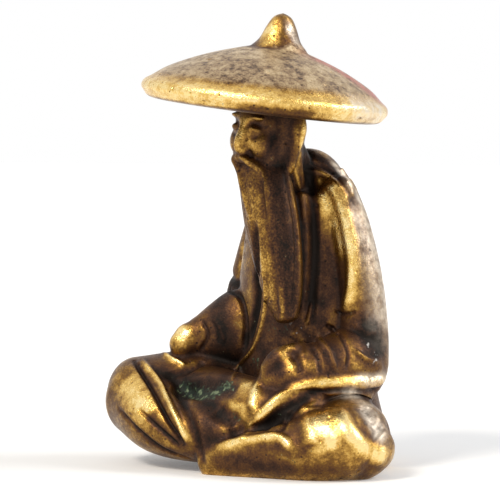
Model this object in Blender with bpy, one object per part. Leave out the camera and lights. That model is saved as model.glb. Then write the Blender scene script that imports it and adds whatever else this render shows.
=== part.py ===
"""Seated fisherman under a broad hat: a small figurine cast in brass as one solid piece.

Frame: +Z up, origin on the flat underside below the middle of the seated body. The figure
faces -Y, so its left side is +X. The wax master is modelled form by form (hat, head, beard,
torso, sleeves, legs), the forms are fused into one skin, folds, hems and strands are drawn on
elevations of the figure and pressed into that skin, and the underside is ground flat.
"""
import math

import bmesh
import bpy
import numpy as np
from mathutils import Vector
from mathutils.bvhtree import BVHTree

MM = 0.001

# Hat: a shallow cone with a thick rounded rim and a finial, worn a little askew.
HAT_RADIUS = 13.6 * MM
HAT_RISE = 6.0 * MM
HAT_UNDERSIDE = 1.45 * MM
RIM_THICKNESS = 2.0 * MM
FINIAL_RADIUS = 3.1 * MM
FINIAL_HEIGHT = 4.0 * MM
HAT_LEAN = (0.118, 0.03)
CROWN_ASIDE = np.array([0.55, 0.4, 0]) * MM

# Head: an egg turned a little to the figure's right and bowed forward of the body.
HEAD_HALF_WIDTH = 3.5 * MM
HEAD_HALF_DEPTH = 4.3 * MM
HEAD_HALF_HEIGHT = 5.6 * MM
HEAD_TURN = math.radians(12)
HEAD_FORWARD = 5.6 * MM
HEAD_ASIDE = -0.6 * MM
HEAD_ABOVE_SHOULDERS = 8.2 * MM
NECK_RADIUS = 2.7 * MM

# Beard, from the chin to the belly, drifting to the figure's left on its way down.
BEARD_LENGTH = 16.2 * MM
BEARD_HALF_WIDTH = 3.45 * MM
BEARD_DRIFT = 4.5 * MM

# Body under the robe.
SHOULDER_HEIGHT = 29.0 * MM
SEAT_HALF_WIDTH = 9.2 * MM
SEAT_HALF_DEPTH = 7.6 * MM
SEAT_BACK = 1.2 * MM
SKIRT_RADIUS = 3.2 * MM

# Arms: the right fist rests on the thigh, the left forearm lies in the lap.
RIGHT_ARM_RADIUS = 2.1 * MM
LEFT_ARM_RADIUS = 2.5 * MM
RIGHT_ELBOW = np.array([-7.9, 0.0, 18.3]) * MM
RIGHT_WRIST = np.array([-9.85, -6.2, 14.0]) * MM
RIGHT_SLEEVE_MOUTH = 2.4 * MM
RIGHT_SLEEVE_ROOT = 5.0 * MM
FIST_RADIUS = 1.9 * MM
LEFT_ELBOW = np.array([8.8, -1.2, 11.5]) * MM
LEFT_SLEEVE_HALF_HEIGHT = 4.4 * MM
THUMB_RADIUS = 1.3 * MM

# Legs: crossed, with the knees out to the sides and the right one raised off the ground.
KNEE_REACH = 15.0 * MM
KNEE_FORWARD = 9.0 * MM
KNEE_RADIUS = 4.5 * MM
RIGHT_KNEE_HEIGHT = 6.95 * MM
LEFT_KNEE_HEIGHT = 3.8 * MM
THIGH_RADIUS = 5.0 * MM
ANKLE_RADIUS = 3.0 * MM
SHIN_FORWARD = 12.9 * MM
LAP_HEIGHT = 6.9 * MM

SKIN_STEP = 0.28 * MM
ROBE_SOFTENING = 12
SKIN_SOFTENING = 3
FACE_BUDGET = 11300
RAY_STEP = 0.25
BRASS = (0.46, 0.30, 0.11)

# Drawings of the folds. Each is seen level from an angle to the left of the front, and each
# stroke is how far it stands out (or in, below zero), its half width, and its path as places
# across and up, all in millimetres.
QUARTER_VIEW = (36, [
    # Hem of the robe across the left leg, and the hollow under its lower half.
    (0.55, 0.8, [(8.9, 10.4), (7.2, 9.8), (3.5, 10.2), (0.2, 9.9), (-3.3, 8.2), (-7.0, 4.0)]),
    (-0.3, 0.7, [(8.4, 9.2), (7.2, 8.7), (3.5, 9.2), (0.2, 8.8)]),
    (-0.55, 0.9, [(0.6, 8.7), (-2.2, 7.4), (-4.5, 5.2)]),
    # Fold in the middle of the lap.
    (0.45, 0.8, [(-5.2, 6.8), (-5.7, 8.0), (-4.8, 10.5)]),
    # Upper edge of the crossed foot and the hollow above it.
    (0.45, 0.9, [(-9.8, 3.2), (-5.5, 4.3), (-2.9, 4.6), (-1.4, 3.4)]),
    (-0.45, 0.8, [(-8.6, 4.4), (-6.2, 5.0), (-3.4, 5.9), (-1.2, 6.9)]),
    # Trouser fold beside the hem.
    (-0.35, 0.6, [(-2.7, 5.2), (-1.9, 6.6), (-0.7, 7.8)]),
    # Fold that falls from the left knee, and the hollow behind it.
    (0.5, 0.9, [(2.9, 8.4), (4.4, 5.6), (6.8, 3.2), (8.6, 2.4)]),
    (-0.4, 1.8, [(6.0, 7.9), (7.2, 5.9), (8.0, 4.6)]),
    # Hem and roll of the right trouser leg, with two folds below them.
    (-0.6, 0.6, [(-19.0, 11.4), (-16.7, 8.6), (-14.7, 5.3), (-13.2, 3.2)]),
    (0.45, 0.65, [(-18.2, 11.6), (-15.9, 9.2), (-14.2, 6.4), (-12.8, 3.6)]),
    (-0.35, 0.55, [(-18.2, 6.6), (-16.2, 5.0), (-13.6, 2.9)]),
    (-0.35, 0.55, [(-20.6, 6.4), (-18.2, 4.3), (-15.4, 2.4), (-12.4, 1.4)]),
    # Front edge of the robe, which the right sleeve comes out of, and the groove behind it.
    (0.45, 0.6, [(-4.7, 23.6), (-4.3, 18.6), (-5.4, 13.6), (-8.1, 10.0)]),
    (-0.5, 0.7, [(-5.6, 27.1), (-5.3, 23.5), (-5.15, 18.5), (-6.1, 13.6)]),
    # Crease where the right sleeve leaves the arm, its cuff, and the crease below it.
    (-0.4, 0.6, [(-8.6, 19.4), (-7.1, 18.7), (-6.45, 16.3), (-6.6, 13.0)]),
    (-0.35, 0.55, [(-11.3, 16.0), (-10.7, 14.4), (-11.5, 12.6)]),
    (-0.3, 0.8, [(-11.0, 11.5), (-13.1, 11.0), (-15.4, 10.4)]),
    # Front of the left sleeve, the hollow before it, the crease at its elbow and its shoulder fold.
    (0.35, 1.1, [(1.1, 32.4), (3.6, 30.3), (5.0, 24.7), (5.0, 20.6), (4.2, 17.4)]),
    (-0.35, 1.8, [(1.8, 29.0), (2.3, 25.0), (2.5, 20.7), (2.2, 17.4)]),
    (-0.25, 0.5, [(3.3, 17.5), (4.3, 17.1), (5.5, 17.5)]),
    (0.35, 0.55, [(0.3, 32.8), (2.2, 32.3), (3.8, 30.8), (4.7, 29.0)]),
    (-0.3, 0.55, [(0.9, 33.6), (2.6, 32.9), (4.3, 31.4), (5.3, 29.3)]),
    # Creases of the left sleeve over the lap.
    (-0.3, 0.55, [(2.3, 16.0), (3.8, 14.9), (4.6, 13.2), (4.4, 11.6)]),
    (0.3, 0.6, [(1.3, 14.9), (2.5, 13.4), (3.1, 11.6)]),
    (0.25, 0.6, [(5.3, 13.4), (6.7, 12.4), (7.9, 12.1)]),
    # Partings of the beard and its lit strand, and the deep edge on its left.
    (-0.22, 0.55, [(-4.9, 33.4), (-4.6, 29.5), (-3.7, 24.4), (-3.1, 18.5)]),
    (-0.28, 0.55, [(-2.3, 33.0), (-1.2, 27.9), (-0.95, 22.9), (-1.4, 17.4)]),
    (0.3, 0.55, [(-1.2, 33.0), (-0.2, 29.0), (0.2, 25.6), (-0.1, 21.0)]),
    (-0.7, 0.75, [(0.0, 34.6), (0.8, 29.5), (0.9, 22.9), (0.5, 16.3)]),
    # Edge of the apron beside the right leg, a soft fold in it, and the sag of the lap.
    (-0.5, 0.8, [(-14.2, 9.1), (-12.4, 6.0), (-11.0, 0.9)]),
    (-0.25, 0.8, [(-8.2, 8.3), (-7.3, 6.9), (-7.5, 5.0)]),
    (-0.6, 2.0, [(-13.8, 8.0), (-10.9, 9.1), (-7.3, 9.3)]),
])
LEFT_VIEW = (126, [
    # Hollow in the side of the left knee, its rounded underside, and folds behind it.
    (-0.4, 2.0, [(-15.4, 6.6), (-13.6, 5.2), (-11.6, 4.8)]),
    (-0.5, 1.8, [(-16.0, 0.4), (-14.4, 0.3), (-12.4, 0.3)]),
    (-0.3, 0.8, [(-7.5, 8.6), (-4.8, 6.4), (-2.6, 3.4)]),
    (-0.25, 1.2, [(-3.5, 26.5), (-4.6, 20.5), (-4.4, 14.0)]),
])
BACK_VIEW = (180, [
    # Long soft folds of the robe between the shoulders and the seat.
    (-0.25, 1.5, [(-3.4, 27.0), (-4.2, 17.0), (-4.8, 6.0)]),
    (-0.25, 1.5, [(3.2, 27.0), (4.0, 17.0), (4.9, 6.0)]),
    (0.2, 1.4, [(0.2, 22.0), (0, 13.0), (0.3, 5.0)]),
])
RIGHT_VIEW = (-70, [
    # Folds at the right elbow and under the right thigh.
    (-0.3, 0.9, [(-3.0, 21.5), (0.2, 19.6), (2.4, 20.2)]),
    (-0.35, 1.1, [(-4.6, 6.4), (-0.5, 5.6), (3.5, 7.2)]),
])


def clear_scene():
    """Removes the objects that the scene starts with."""
    for thing in list(bpy.data.objects):
        bpy.data.objects.remove(thing)


def smooth_path(points, count):
    """Catmull-Rom curve through the rows of `points`, sampled at `count` places."""
    points = np.array(points, float)
    ends = np.vstack([2 * points[0] - points[1], points, 2 * points[-1] - points[-2]])
    at = np.linspace(0, len(points) - 1, count)
    span = np.minimum(at.astype(int), len(points) - 2)
    t = (at - span)[:, None]
    a, b, c, d = (ends[span + k] for k in range(4))
    return 0.5 * (2 * b + (c - a) * t + (2 * a - 5 * b + 4 * c - d) * t**2 + (3 * b - a - 3 * c + d) * t**3)


def unit(vectors):
    return vectors / np.linalg.norm(vectors, axis=-1, keepdims=True)


def skin(rings):
    """Vertices and faces of a closed tube through rings (count, around, 3), whose ends are poles."""
    count, around = rings.shape[:2]
    points = np.vstack([rings[0].mean(0), rings.reshape(-1, 3), rings[-1].mean(0)])
    ring = np.arange(around)
    after = (ring + 1) % around
    first = 1 + around * np.arange(count - 1)[:, None]
    quads = np.stack([first + ring, first + after, first + around + after, first + around + ring], -1)
    faces = [tuple(q) for q in quads.reshape(-1, 4).tolist()]
    last = 1 + around * (count - 1)
    faces += [(0, 1 + int(b), 1 + int(a)) for a, b in zip(ring, after)]
    faces += [(len(points) - 1, last + int(a), last + int(b)) for a, b in zip(ring, after)]
    return points, faces


def loft(stations, side, around=28, along=30, cap=0.7):
    """A soft limb through stations of centre x, y, z, half width along `side` and half
    thickness across it. Both ends close as part of an ellipsoid, `cap` times as long as wide."""
    path = smooth_path(stations, along)
    centre, wide, thick = path[:, :3], path[:, 3], path[:, 4]
    run = unit(np.gradient(centre, axis=0))
    lateral = unit(np.array(side, float) - (run @ np.array(side, float))[:, None] * run)
    across = np.cross(run, lateral)
    swing = np.radians([82, 62, 42, 20])
    grow = np.concatenate([np.cos(swing), np.ones(along), np.cos(swing[::-1])])
    push = np.concatenate([-np.sin(swing), np.zeros(along), np.sin(swing[::-1])])
    ends = len(swing)
    which = np.concatenate([np.zeros(ends, int), np.arange(along), np.full(ends, along - 1)])
    reach = cap * 0.5 * (wide + thick)[which] * push
    turn = np.linspace(0, 2 * math.pi, around, endpoint=False)
    cosine, sine = np.cos(turn)[None, :, None], np.sin(turn)[None, :, None]
    rings = (
        (centre[which] + run[which] * reach[:, None])[:, None]
        + cosine * (lateral[which] * (wide[which] * grow)[:, None])[:, None]
        + sine * (across[which] * (thick[which] * grow)[:, None])[:, None]
    )
    return skin(rings)


def turned(profile, centre, axis, aside=(0, 0, 0), around=72, along=60):
    """A revolved form: profile rows of radius and height, bottom to top, about `axis`. Its
    upper part leans: a ring moves aside by the share of the full height it has reached."""
    path = smooth_path(profile, along)
    radius, height = np.maximum(path[:, 0], 0.02 * MM), path[:, 1]
    axis = unit(np.array(axis, float))
    drift = np.clip(height / height.max(), 0, 1)[:, None] * np.array(aside)
    east = unit(np.cross((0, 1, 0), axis))
    north = np.cross(axis, east)
    turn = np.linspace(0, 2 * math.pi, around, endpoint=False)
    circle = np.cos(turn)[:, None] * east + np.sin(turn)[:, None] * north
    rings = np.array(centre) + radius[:, None, None] * circle[None] + (height[:, None] * axis + drift)[:, None]
    return skin(rings)


def egg(centre, axes, sizes, around=32, along=20):
    """An ellipsoid with half sizes along three given axes."""
    rise = np.linspace(-math.pi / 2, math.pi / 2, along + 2)[1:-1]
    turn = np.linspace(0, 2 * math.pi, around, endpoint=False)
    east, north, up = (np.array(a) * s for a, s in zip(axes, sizes))
    circle = np.cos(turn)[:, None] * east + np.sin(turn)[:, None] * north
    rings = np.array(centre) + np.cos(rise)[:, None, None] * circle[None] + (np.sin(rise)[:, None] * up)[:, None]
    return skin(rings)


# Directions and places that several forms share.
UP = np.array([0.0, 0.0, 1.0])
LEFT = np.array([1.0, 0.0, 0.0])
HEAD_UP = unit(np.array([HAT_LEAN[0], HAT_LEAN[1], 1.0]))
GAZE = np.array([-math.sin(HEAD_TURN), -math.cos(HEAD_TURN), 0.0])
HEAD_FACING = unit(GAZE - HEAD_UP * (GAZE @ HEAD_UP))
HEAD_LEFT = np.cross(HEAD_UP, HEAD_FACING)
HEAD_CENTRE = np.array([HEAD_ASIDE, -HEAD_FORWARD, SHOULDER_HEIGHT + HEAD_ABOVE_SHOULDERS])
SHOULDER_LINE = 1.04 * SHOULDER_HEIGHT


def on_head(left, front, up):
    """A place in the head's own frame, given as shares of its half width, depth and height."""
    return (
        HEAD_CENTRE
        + left * HEAD_HALF_WIDTH * HEAD_LEFT
        + front * HEAD_HALF_DEPTH * HEAD_FACING
        + up * HEAD_HALF_HEIGHT * HEAD_UP
    )


def between(start, end, share, bulge=0.0):
    """A place on the way from start to end, pushed aside by a bow of the given bulge."""
    outward = np.sign(end[0]) * LEFT
    return start + share * (end - start) + 4 * share * (1 - share) * bulge * outward


def hat():
    """The brim is one turned cone whose rim rolls under, and the finial is turned above it."""
    seat = on_head(-0.12, 0.24, 0.63)
    rim, roll = HAT_RADIUS, RIM_THICKNESS
    brim = [
        (0.0, -HAT_UNDERSIDE),
        (0.6 * rim, -HAT_UNDERSIDE),
        (0.9 * rim, -HAT_UNDERSIDE),
        (0.98 * rim, -0.35 * roll),
        (rim, -0.1 * roll),
        (0.985 * rim, 0.22 * roll),
        (0.93 * rim, 0.5 * roll),
        (0.8 * rim, 0.385 * HAT_RISE),
        (0.54 * rim, 0.67 * HAT_RISE),
        (0.24 * rim, 0.885 * HAT_RISE),
        (0.0, HAT_RISE),
    ]
    base = 0.91 * HAT_RISE
    finial = [
        (0.0, base - 0.38 * FINIAL_HEIGHT),
        (1.08 * FINIAL_RADIUS, base - 0.3 * FINIAL_HEIGHT),
        (FINIAL_RADIUS, base),
        (0.74 * FINIAL_RADIUS, base + 0.24 * FINIAL_HEIGHT),
        (0.52 * FINIAL_RADIUS, base + 0.62 * FINIAL_HEIGHT),
        (0.31 * FINIAL_RADIUS, base + 0.88 * FINIAL_HEIGHT),
        (0.0, base + FINIAL_HEIGHT),
    ]
    crooked = seat + np.array([0.24, 0.16, -0.06]) * FINIAL_RADIUS
    return [turned(brim, seat, HEAD_UP, CROWN_ASIDE), turned(finial, crooked, HEAD_UP, around=36, along=30)]


def head():
    """Skull, jaw, nose, brows, lowered lids, cheeks, full temples, ears with long lobes, neck."""
    axes = (HEAD_LEFT, HEAD_FACING, HEAD_UP)
    width = HEAD_HALF_WIDTH

    def head_egg(left, front, up, sizes):
        return egg(on_head(left, front, up), axes, np.array(sizes) * width, 20, 12)

    def head_loft(rows, along):
        stations = [(*on_head(*row[:3]), row[3] * width, row[4] * width) for row in rows]
        return loft(stations, HEAD_LEFT, 16, along)

    nose = [(0, 0.8, 0.22, 0.12, 0.2), (0, 0.9, -0.08, 0.12, 0.24), (0, 0.96, -0.3, 0.15, 0.27), (0, 0.95, -0.42, 0.17, 0.22)]
    forms = [
        egg(HEAD_CENTRE, axes, (HEAD_HALF_WIDTH, HEAD_HALF_DEPTH, HEAD_HALF_HEIGHT)),
        head_egg(0, 0.36, -0.58, (0.66, 0.64, 0.62)),
        head_loft(nose, 12),
    ]
    for way in (-1, 1):
        temple = [
            (0.88 * way, 0.1, 0.42, 0.12, 0.34),
            (0.9 * way, 0.14, 0.0, 0.14, 0.36),
            (0.82 * way, 0.26, -0.44, 0.2, 0.4),
            (0.6 * way, 0.4, -0.9, 0.3, 0.4),
        ]
        ear = [
            (0.98 * way, -0.16, 0.42, 0.13, 0.2),
            (1.08 * way, -0.2, 0.1, 0.17, 0.27),
            (1.06 * way, -0.14, -0.3, 0.15, 0.2),
            (0.98 * way, -0.05, -0.74, 0.14, 0.17),
        ]
        forms += [
            head_egg(0.42 * way, 0.88, 0.25, (0.36, 0.17, 0.12)),
            head_egg(0.42 * way, 0.87, 0.0, (0.2, 0.17, 0.15)),
            head_egg(0.46 * way, 0.6, -0.26, (0.38, 0.36, 0.5)),
            head_egg(0.14 * way, 0.9, -0.44, (0.1, 0.14, 0.1)),
            head_loft(temple, 16),
            head_loft(ear, 16),
        ]
    nape = np.array([0, -0.27 * HEAD_FORWARD, 1.02 * SHOULDER_LINE])
    neck = [(*between(nape, HEAD_CENTRE, share), NECK_RADIUS, 1.08 * NECK_RADIUS) for share in (0, 0.5, 0.9)]
    forms.append(loft(neck, LEFT))
    return forms


def beard():
    """One flat tapering lock from the whole jaw, drifting to the figure's left, and a moustache."""
    chin = on_head(0.07, 0.28, -0.76)
    taper = [
        (0, 0.04, 0, 0.86, 0.72),
        (0.16, 0.22, 0, 0.95, 0.76),
        (0.4, 0.46, 0.27, 0.93, 0.7),
        (0.65, 0.7, 0.55, 0.82, 0.6),
        (0.86, 0.88, 0.82, 0.64, 0.48),
        (1, 1, 1, 0.38, 0.32),
    ]
    stations = np.array([
        (
            chin[0] + drift * BEARD_DRIFT,
            chin[1] - 0.24 * lean * BEARD_DRIFT,
            chin[2] - down * BEARD_LENGTH,
            wide * BEARD_HALF_WIDTH,
            thick * BEARD_HALF_WIDTH,
        )
        for down, drift, lean, wide, thick in taper
    ])
    downs = [row[0] for row in taper]

    def on_beard(down, across, out):
        x, y, z, wide, thick = (np.interp(down, downs, column) for column in stations.T)
        return np.array([x + across * wide, y - out * math.sqrt(1 - across**2) * thick, z])

    forms = [loft(stations, LEFT, 32, 30, 0.5)]
    for way in (-1, 1):
        moustache = [
            (*on_head(0.07 * way, 0.92, -0.55), 0.1, 0.15),
            (*on_head(0.32 * way, 0.84, -0.62), 0.13, 0.18),
            (*on_beard(0.02, 0.52 * way, 0.94), 0.13, 0.16),
            (*on_beard(0.16, 0.5 * way, 0.94), 0.12, 0.14),
            (*on_beard(0.34, 0.36 * way, 0.94), 0.09, 0.11),
        ]
        forms.append(loft([(*row[:3], row[3] * BEARD_HALF_WIDTH, row[4] * BEARD_HALF_WIDTH) for row in moustache], LEFT, 14, 20))
    return forms


def torso():
    """The robe's trunk, from a broad seat to the collar behind the head."""
    width, depth, top, back = SEAT_HALF_WIDTH, SEAT_HALF_DEPTH, SHOULDER_HEIGHT, SEAT_BACK
    girth = [
        (-0.03, 1.0, 0.98, 0.98),
        (0.1, 0.9, 1.0, 1.0),
        (0.28, 0.5, 0.89, 0.94),
        (0.48, 0.25, 0.89, 0.92),
        (0.69, -0.17, 0.8, 0.87),
        (0.86, -0.17, 0.71, 0.83),
        (1.0, 0.0, 0.65, 0.78),
        (1.09, -0.15, 0.49, 0.62),
        (1.16, -1.3, 0.25, 0.36),
    ]
    stations = [(0, behind * back, up * top, wide * width, deep * depth) for up, behind, wide, deep in girth]
    return [loft(stations, LEFT, 48, 40, 0.2)]


def upper_arm(shoulder, elbow, bulge, radius):
    shares = [(0, 0.88), (0.2, 0.96), (0.5, 1.0), (0.8, 1.06), (1, 1.12)]
    return loft(
        [(*between(shoulder, elbow, share, bulge), size * radius, size * radius) for share, size in shares], LEFT
    )


def arms():
    """Sleeves that widen where the robe falls over each forearm, and the hands in them."""
    right_shoulder = np.array([-0.48 * SEAT_HALF_WIDTH, 0, 0.985 * SHOULDER_LINE])
    left_shoulder = np.array([0.54 * SEAT_HALF_WIDTH, -0.25 * LEFT_ARM_RADIUS, SHOULDER_LINE])
    root = RIGHT_ELBOW + np.array([1.5, -1.1, -1.4]) * RIGHT_ARM_RADIUS
    right_sleeve = []
    for share, closing in ((0, 0), (0.4, 0.24), (0.73, 0.62), (1, 1)):
        half = RIGHT_SLEEVE_ROOT + closing * (RIGHT_SLEEVE_MOUTH - RIGHT_SLEEVE_ROOT)
        right_sleeve.append((*between(root, RIGHT_WRIST, share), half, 0.8 * half))
    fist = RIGHT_WRIST + np.array([-0.42, -0.38, -0.06]) * FIST_RADIUS
    knuckles = fist + np.array([-0.26, -0.36, -0.32]) * FIST_RADIUS
    tall = LEFT_SLEEVE_HALF_HEIGHT
    fall = [
        (-0.1, -0.2, 0.0, 1.0, 0.8),
        (-0.27, -0.9, -0.14, 0.92, 0.78),
        (-0.77, -1.5, -0.27, 0.78, 0.76),
        (-1.41, -1.84, -0.39, 0.57, 0.57),
    ]
    left_sleeve = [(*(LEFT_ELBOW + np.array(row[:3]) * tall), row[3] * tall, row[4] * tall) for row in fall]
    edge = [(-0.05, -0.77, -0.2, 0.455, 0.27), (0.17, 0.05, -0.25, 0.48, 0.27), (-0.3, 1.1, -0.25, 0.36, 0.2)]
    sleeve_hem = [(*(LEFT_ELBOW + np.array(row[:3]) * tall), row[3] * tall, row[4] * tall) for row in edge]
    palm = LEFT_ELBOW + np.array([-0.86, -1.6, 0.36]) * tall
    curl = [(0, 0, 0, 1), (-1.05, -1.15, -0.55, 1.05), (-1.85, -1.7, -1.53, 0.85)]
    thumb = [(*(palm + np.array(row[:3]) * THUMB_RADIUS), row[3] * THUMB_RADIUS, row[3] * THUMB_RADIUS) for row in curl]
    return [
        upper_arm(left_shoulder, LEFT_ELBOW, 0.5 * LEFT_ARM_RADIUS, LEFT_ARM_RADIUS),
        loft(left_sleeve, UP),
        loft(thumb, UP, 20, 14),
        loft(sleeve_hem, UP, 20, 14),
        upper_arm(right_shoulder, RIGHT_ELBOW, 0.1 * RIGHT_ARM_RADIUS, RIGHT_ARM_RADIUS),
        loft(right_sleeve, UP),
        egg(fist, (LEFT, np.cross(UP, LEFT), UP), (FIST_RADIUS, FIST_RADIUS, 0.98 * FIST_RADIUS), 20, 12),
        egg(knuckles, (LEFT, np.cross(UP, LEFT), UP), (0.84 * FIST_RADIUS,) * 3, 20, 12),
    ]


def legs():
    """Thighs out to the knees, shins back across the front, the robe's lap and skirt, and a
    fill between the legs underneath."""
    reach, ahead, knee, thigh, ankle = KNEE_REACH, KNEE_FORWARD, KNEE_RADIUS, THIGH_RADIUS, ANKLE_RADIUS
    front = SHIN_FORWARD
    high, low = RIGHT_KNEE_HEIGHT, LEFT_KNEE_HEIGHT
    right_thigh = [
        (-0.3 * reach, 0, 0.88 * high, 1.08 * thigh, 1.04 * thigh),
        (-0.6 * reach, -0.45 * ahead, 1.07 * high, 1.04 * thigh, 1.04 * thigh),
        (-0.86 * reach, -0.8 * ahead, 1.07 * high, 0.99 * thigh, thigh),
        (-1.08 * reach, -ahead, 1.15 * high, 0.89 * thigh, 0.98 * thigh),
    ]
    right_shin = [
        (-1.02 * reach, -0.7 * front, 1.02 * high, 1.05 * knee, 1.05 * knee),
        (-0.72 * reach, -0.92 * front, 0.76 * high, 0.88 * knee, 0.87 * knee),
        (-0.4 * reach, -0.95 * front, 0.63 * high, 1.17 * ankle, 1.17 * ankle),
        (-0.05 * reach, -0.9 * front, 0.59 * high, 1.03 * ankle, 1.03 * ankle),
    ]
    left_thigh = [
        (0.3 * reach, 0, 1.05 * low, 0.92 * thigh, thigh),
        (0.5 * reach, -0.42 * ahead, 1.05 * low, 0.92 * thigh, thigh),
        (0.72 * reach, -0.78 * ahead, 1.05 * low, 0.9 * thigh, 0.94 * thigh),
        (0.85 * reach, -0.96 * ahead, low, 0.96 * knee, knee),
    ]
    left_shin = [
        (0.8 * reach, -0.7 * front, 0.95 * low, 0.92 * knee, 0.98 * knee),
        (0.58 * reach, -0.86 * front, 0.82 * low, 0.82 * knee, 0.82 * knee),
        (0.22 * reach, -0.96 * front, 0.65 * low, ankle, ankle),
        (-0.17 * reach, -1.02 * front, 0.38 * low, 0.795 * ankle, 0.855 * ankle),
    ]
    soft = 0.7 * thigh
    lap = [
        (-0.6 * reach, -0.78 * ahead, 1.16 * LAP_HEIGHT, 0.92 * soft, 0.97 * soft),
        (-0.27 * reach, -0.98 * ahead, 1.04 * LAP_HEIGHT, 1.03 * soft, 1.08 * soft),
        (0.13 * reach, -1.09 * ahead, 0.96 * LAP_HEIGHT, 0.97 * soft, 1.03 * soft),
        (0.47 * reach, -0.96 * ahead, 0.93 * LAP_HEIGHT, 0.92 * soft, 0.97 * soft),
    ]
    hem = SKIRT_RADIUS
    skirt = [
        (-0.89 * SEAT_HALF_WIDTH, 0.16 * hem, 0.69 * hem, hem, 1.31 * hem),
        (0, 0.58 * SEAT_HALF_DEPTH, 0.63 * hem, 1.06 * hem, 1.31 * hem),
        (0.83 * SEAT_HALF_WIDTH, -0.19 * hem, 0.63 * hem, hem, 1.38 * hem),
    ]
    forms = [loft(form, UP, 36, 30) for form in (right_thigh, right_shin, left_thigh, left_shin, lap, skirt)]
    under = np.array([0, -0.54 * front, 0.67 * knee])
    return forms + [egg(under, (LEFT, np.cross(UP, LEFT), UP), (0.6 * reach, 0.39 * front, 0.53 * knee))]


def joined(forms, name):
    """One mesh object from several lists of points and faces."""
    points, faces, start = [], [], 0
    for shape_points, shape_faces in forms:
        points.append(shape_points)
        faces += [tuple(start + i for i in face) for face in shape_faces]
        start += len(shape_points)
    mesh = bpy.data.meshes.new(name)
    mesh.from_pydata(np.vstack(points).tolist(), [], faces)
    mesh.update()
    body = bpy.data.objects.new(name, mesh)
    bpy.context.scene.collection.objects.link(body)
    return body


def baked(body):
    """Replaces an object's mesh by what its modifiers make of it."""
    bpy.context.view_layer.update()
    graph = bpy.context.evaluated_depsgraph_get()
    mesh = bpy.data.meshes.new_from_object(body.evaluated_get(graph))
    body.modifiers.clear()
    body.data = mesh
    return body


def rows_of(collection, field):
    """A mesh's positions or normals as rows of three numbers."""
    values = np.empty(3 * len(collection), np.float32)
    collection.foreach_get(field, values)
    return values.reshape(-1, 3).astype(float)


def fuse(body, softening):
    """Runs overlapping forms together into one skin with soft joins."""
    remesh = body.modifiers.new("fuse", "REMESH")
    remesh.mode = "VOXEL"
    remesh.voxel_size = SKIN_STEP
    soften = body.modifiers.new("soften", "SMOOTH")
    soften.factor = 0.5
    soften.iterations = softening
    return baked(body)


def as_form(body):
    """A fused body as a form again, and its object removed."""
    points = rows_of(body.data.vertices, "co")
    faces = [tuple(face.vertices) for face in body.data.polygons]
    bpy.data.objects.remove(body)
    return points, faces


def traced(surface, turn, path):
    """Drops a drawn path on the surface, looking level at it from `turn` left of the front."""
    right = np.array([math.cos(turn), math.sin(turn), 0.0])
    towards = np.array([math.sin(turn), -math.cos(turn), 0.0])
    places = []
    length = np.linalg.norm(np.diff(np.array(path, float), axis=0), axis=1).sum()
    for across, up in smooth_path(path, int(length / RAY_STEP) + 4) * MM:
        start = across * right + up * UP + 2 * KNEE_REACH * towards
        place = surface.ray_cast(Vector(start), Vector(-towards))[0]
        if place is not None:
            places.append(place)
    return np.array(places)


def press(body, drawings):
    """Moves the skin in or out along every stroke of the drawings, most at the stroke's middle."""
    points = rows_of(body.data.vertices, "co")
    normals = rows_of(body.data.vertex_normals, "vector")
    surface = BVHTree.FromObject(body, bpy.context.evaluated_depsgraph_get())
    shift = np.zeros(len(points))
    for turn, strokes in drawings:
        for amount, width, path in strokes:
            line = traced(surface, math.radians(turn), path)
            if not len(line):
                continue
            half = width * MM
            inside = (points > line.min(0) - half) & (points < line.max(0) + half)
            near = np.flatnonzero(inside.all(1))
            if not len(near):
                continue
            gap = np.linalg.norm(points[near][:, None] - line[None], axis=2)
            closest = gap.argmin(1)
            share = np.clip(1 - (gap.min(1) / half) ** 2, 0, 1) ** 2
            to_end = np.minimum(closest, len(line) - 1 - closest) / (0.14 * len(line))
            shift[near] += amount * MM * share * np.clip(0.25 + to_end, 0, 1)
    body.data.vertices.foreach_set("co", (points + shift[:, None] * normals).ravel())
    body.data.update()
    return body


def grind(body):
    """Thins the skin where it is plain and grinds the underside flat."""
    count = sum(len(face.vertices) - 2 for face in body.data.polygons)
    thin = body.modifiers.new("thin", "DECIMATE")
    thin.ratio = min(1.0, FACE_BUDGET / count)
    baked(body)
    side, deep = 8 * KNEE_REACH, 2 * KNEE_RADIUS
    block = bmesh.new()
    bmesh.ops.create_cube(block, size=1.0)
    bmesh.ops.scale(block, vec=(side, side, deep), verts=block.verts)
    bmesh.ops.translate(block, vec=(0, 0, -deep / 2), verts=block.verts)
    mesh = bpy.data.meshes.new("ground")
    block.to_mesh(mesh)
    block.free()
    ground = bpy.data.objects.new("ground", mesh)
    bpy.context.scene.collection.objects.link(ground)
    ground.hide_render = True
    ground.display_type = "WIRE"
    cut = body.modifiers.new("grind", "BOOLEAN")
    cut.operation = "DIFFERENCE"
    cut.object = ground
    return body


def brass():
    material = bpy.data.materials.new("aged brass")
    material.use_nodes = True
    shader = material.node_tree.nodes["Principled BSDF"]
    shader.inputs["Base Color"].default_value = (*BRASS, 1)
    shader.inputs["Metallic"].default_value = 1.0
    shader.inputs["Roughness"].default_value = 0.35
    return material


clear_scene()
robe = fuse(joined(torso() + legs() + arms(), "robe"), ROBE_SOFTENING)
figure = fuse(joined([as_form(robe)] + head() + beard() + hat(), "fisherman"), SKIN_SOFTENING)
press(figure, [QUARTER_VIEW, LEFT_VIEW, BACK_VIEW, RIGHT_VIEW])
grind(figure)
figure.data.materials.clear()
figure.data.materials.append(brass())
figure.data.shade_smooth()
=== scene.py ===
"""A small cast brass figurine of a seated fisherman under a broad hat, in its worn patina.

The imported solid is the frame: the casting made here takes the place of its one node, at the
same size and in the same place, with a finer skin. Units are metres, +Z is up, and the
figure faces -Y.
"""
import math

import bpy
import numpy as np
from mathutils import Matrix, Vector
from mathutils.bvhtree import BVHTree


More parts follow.
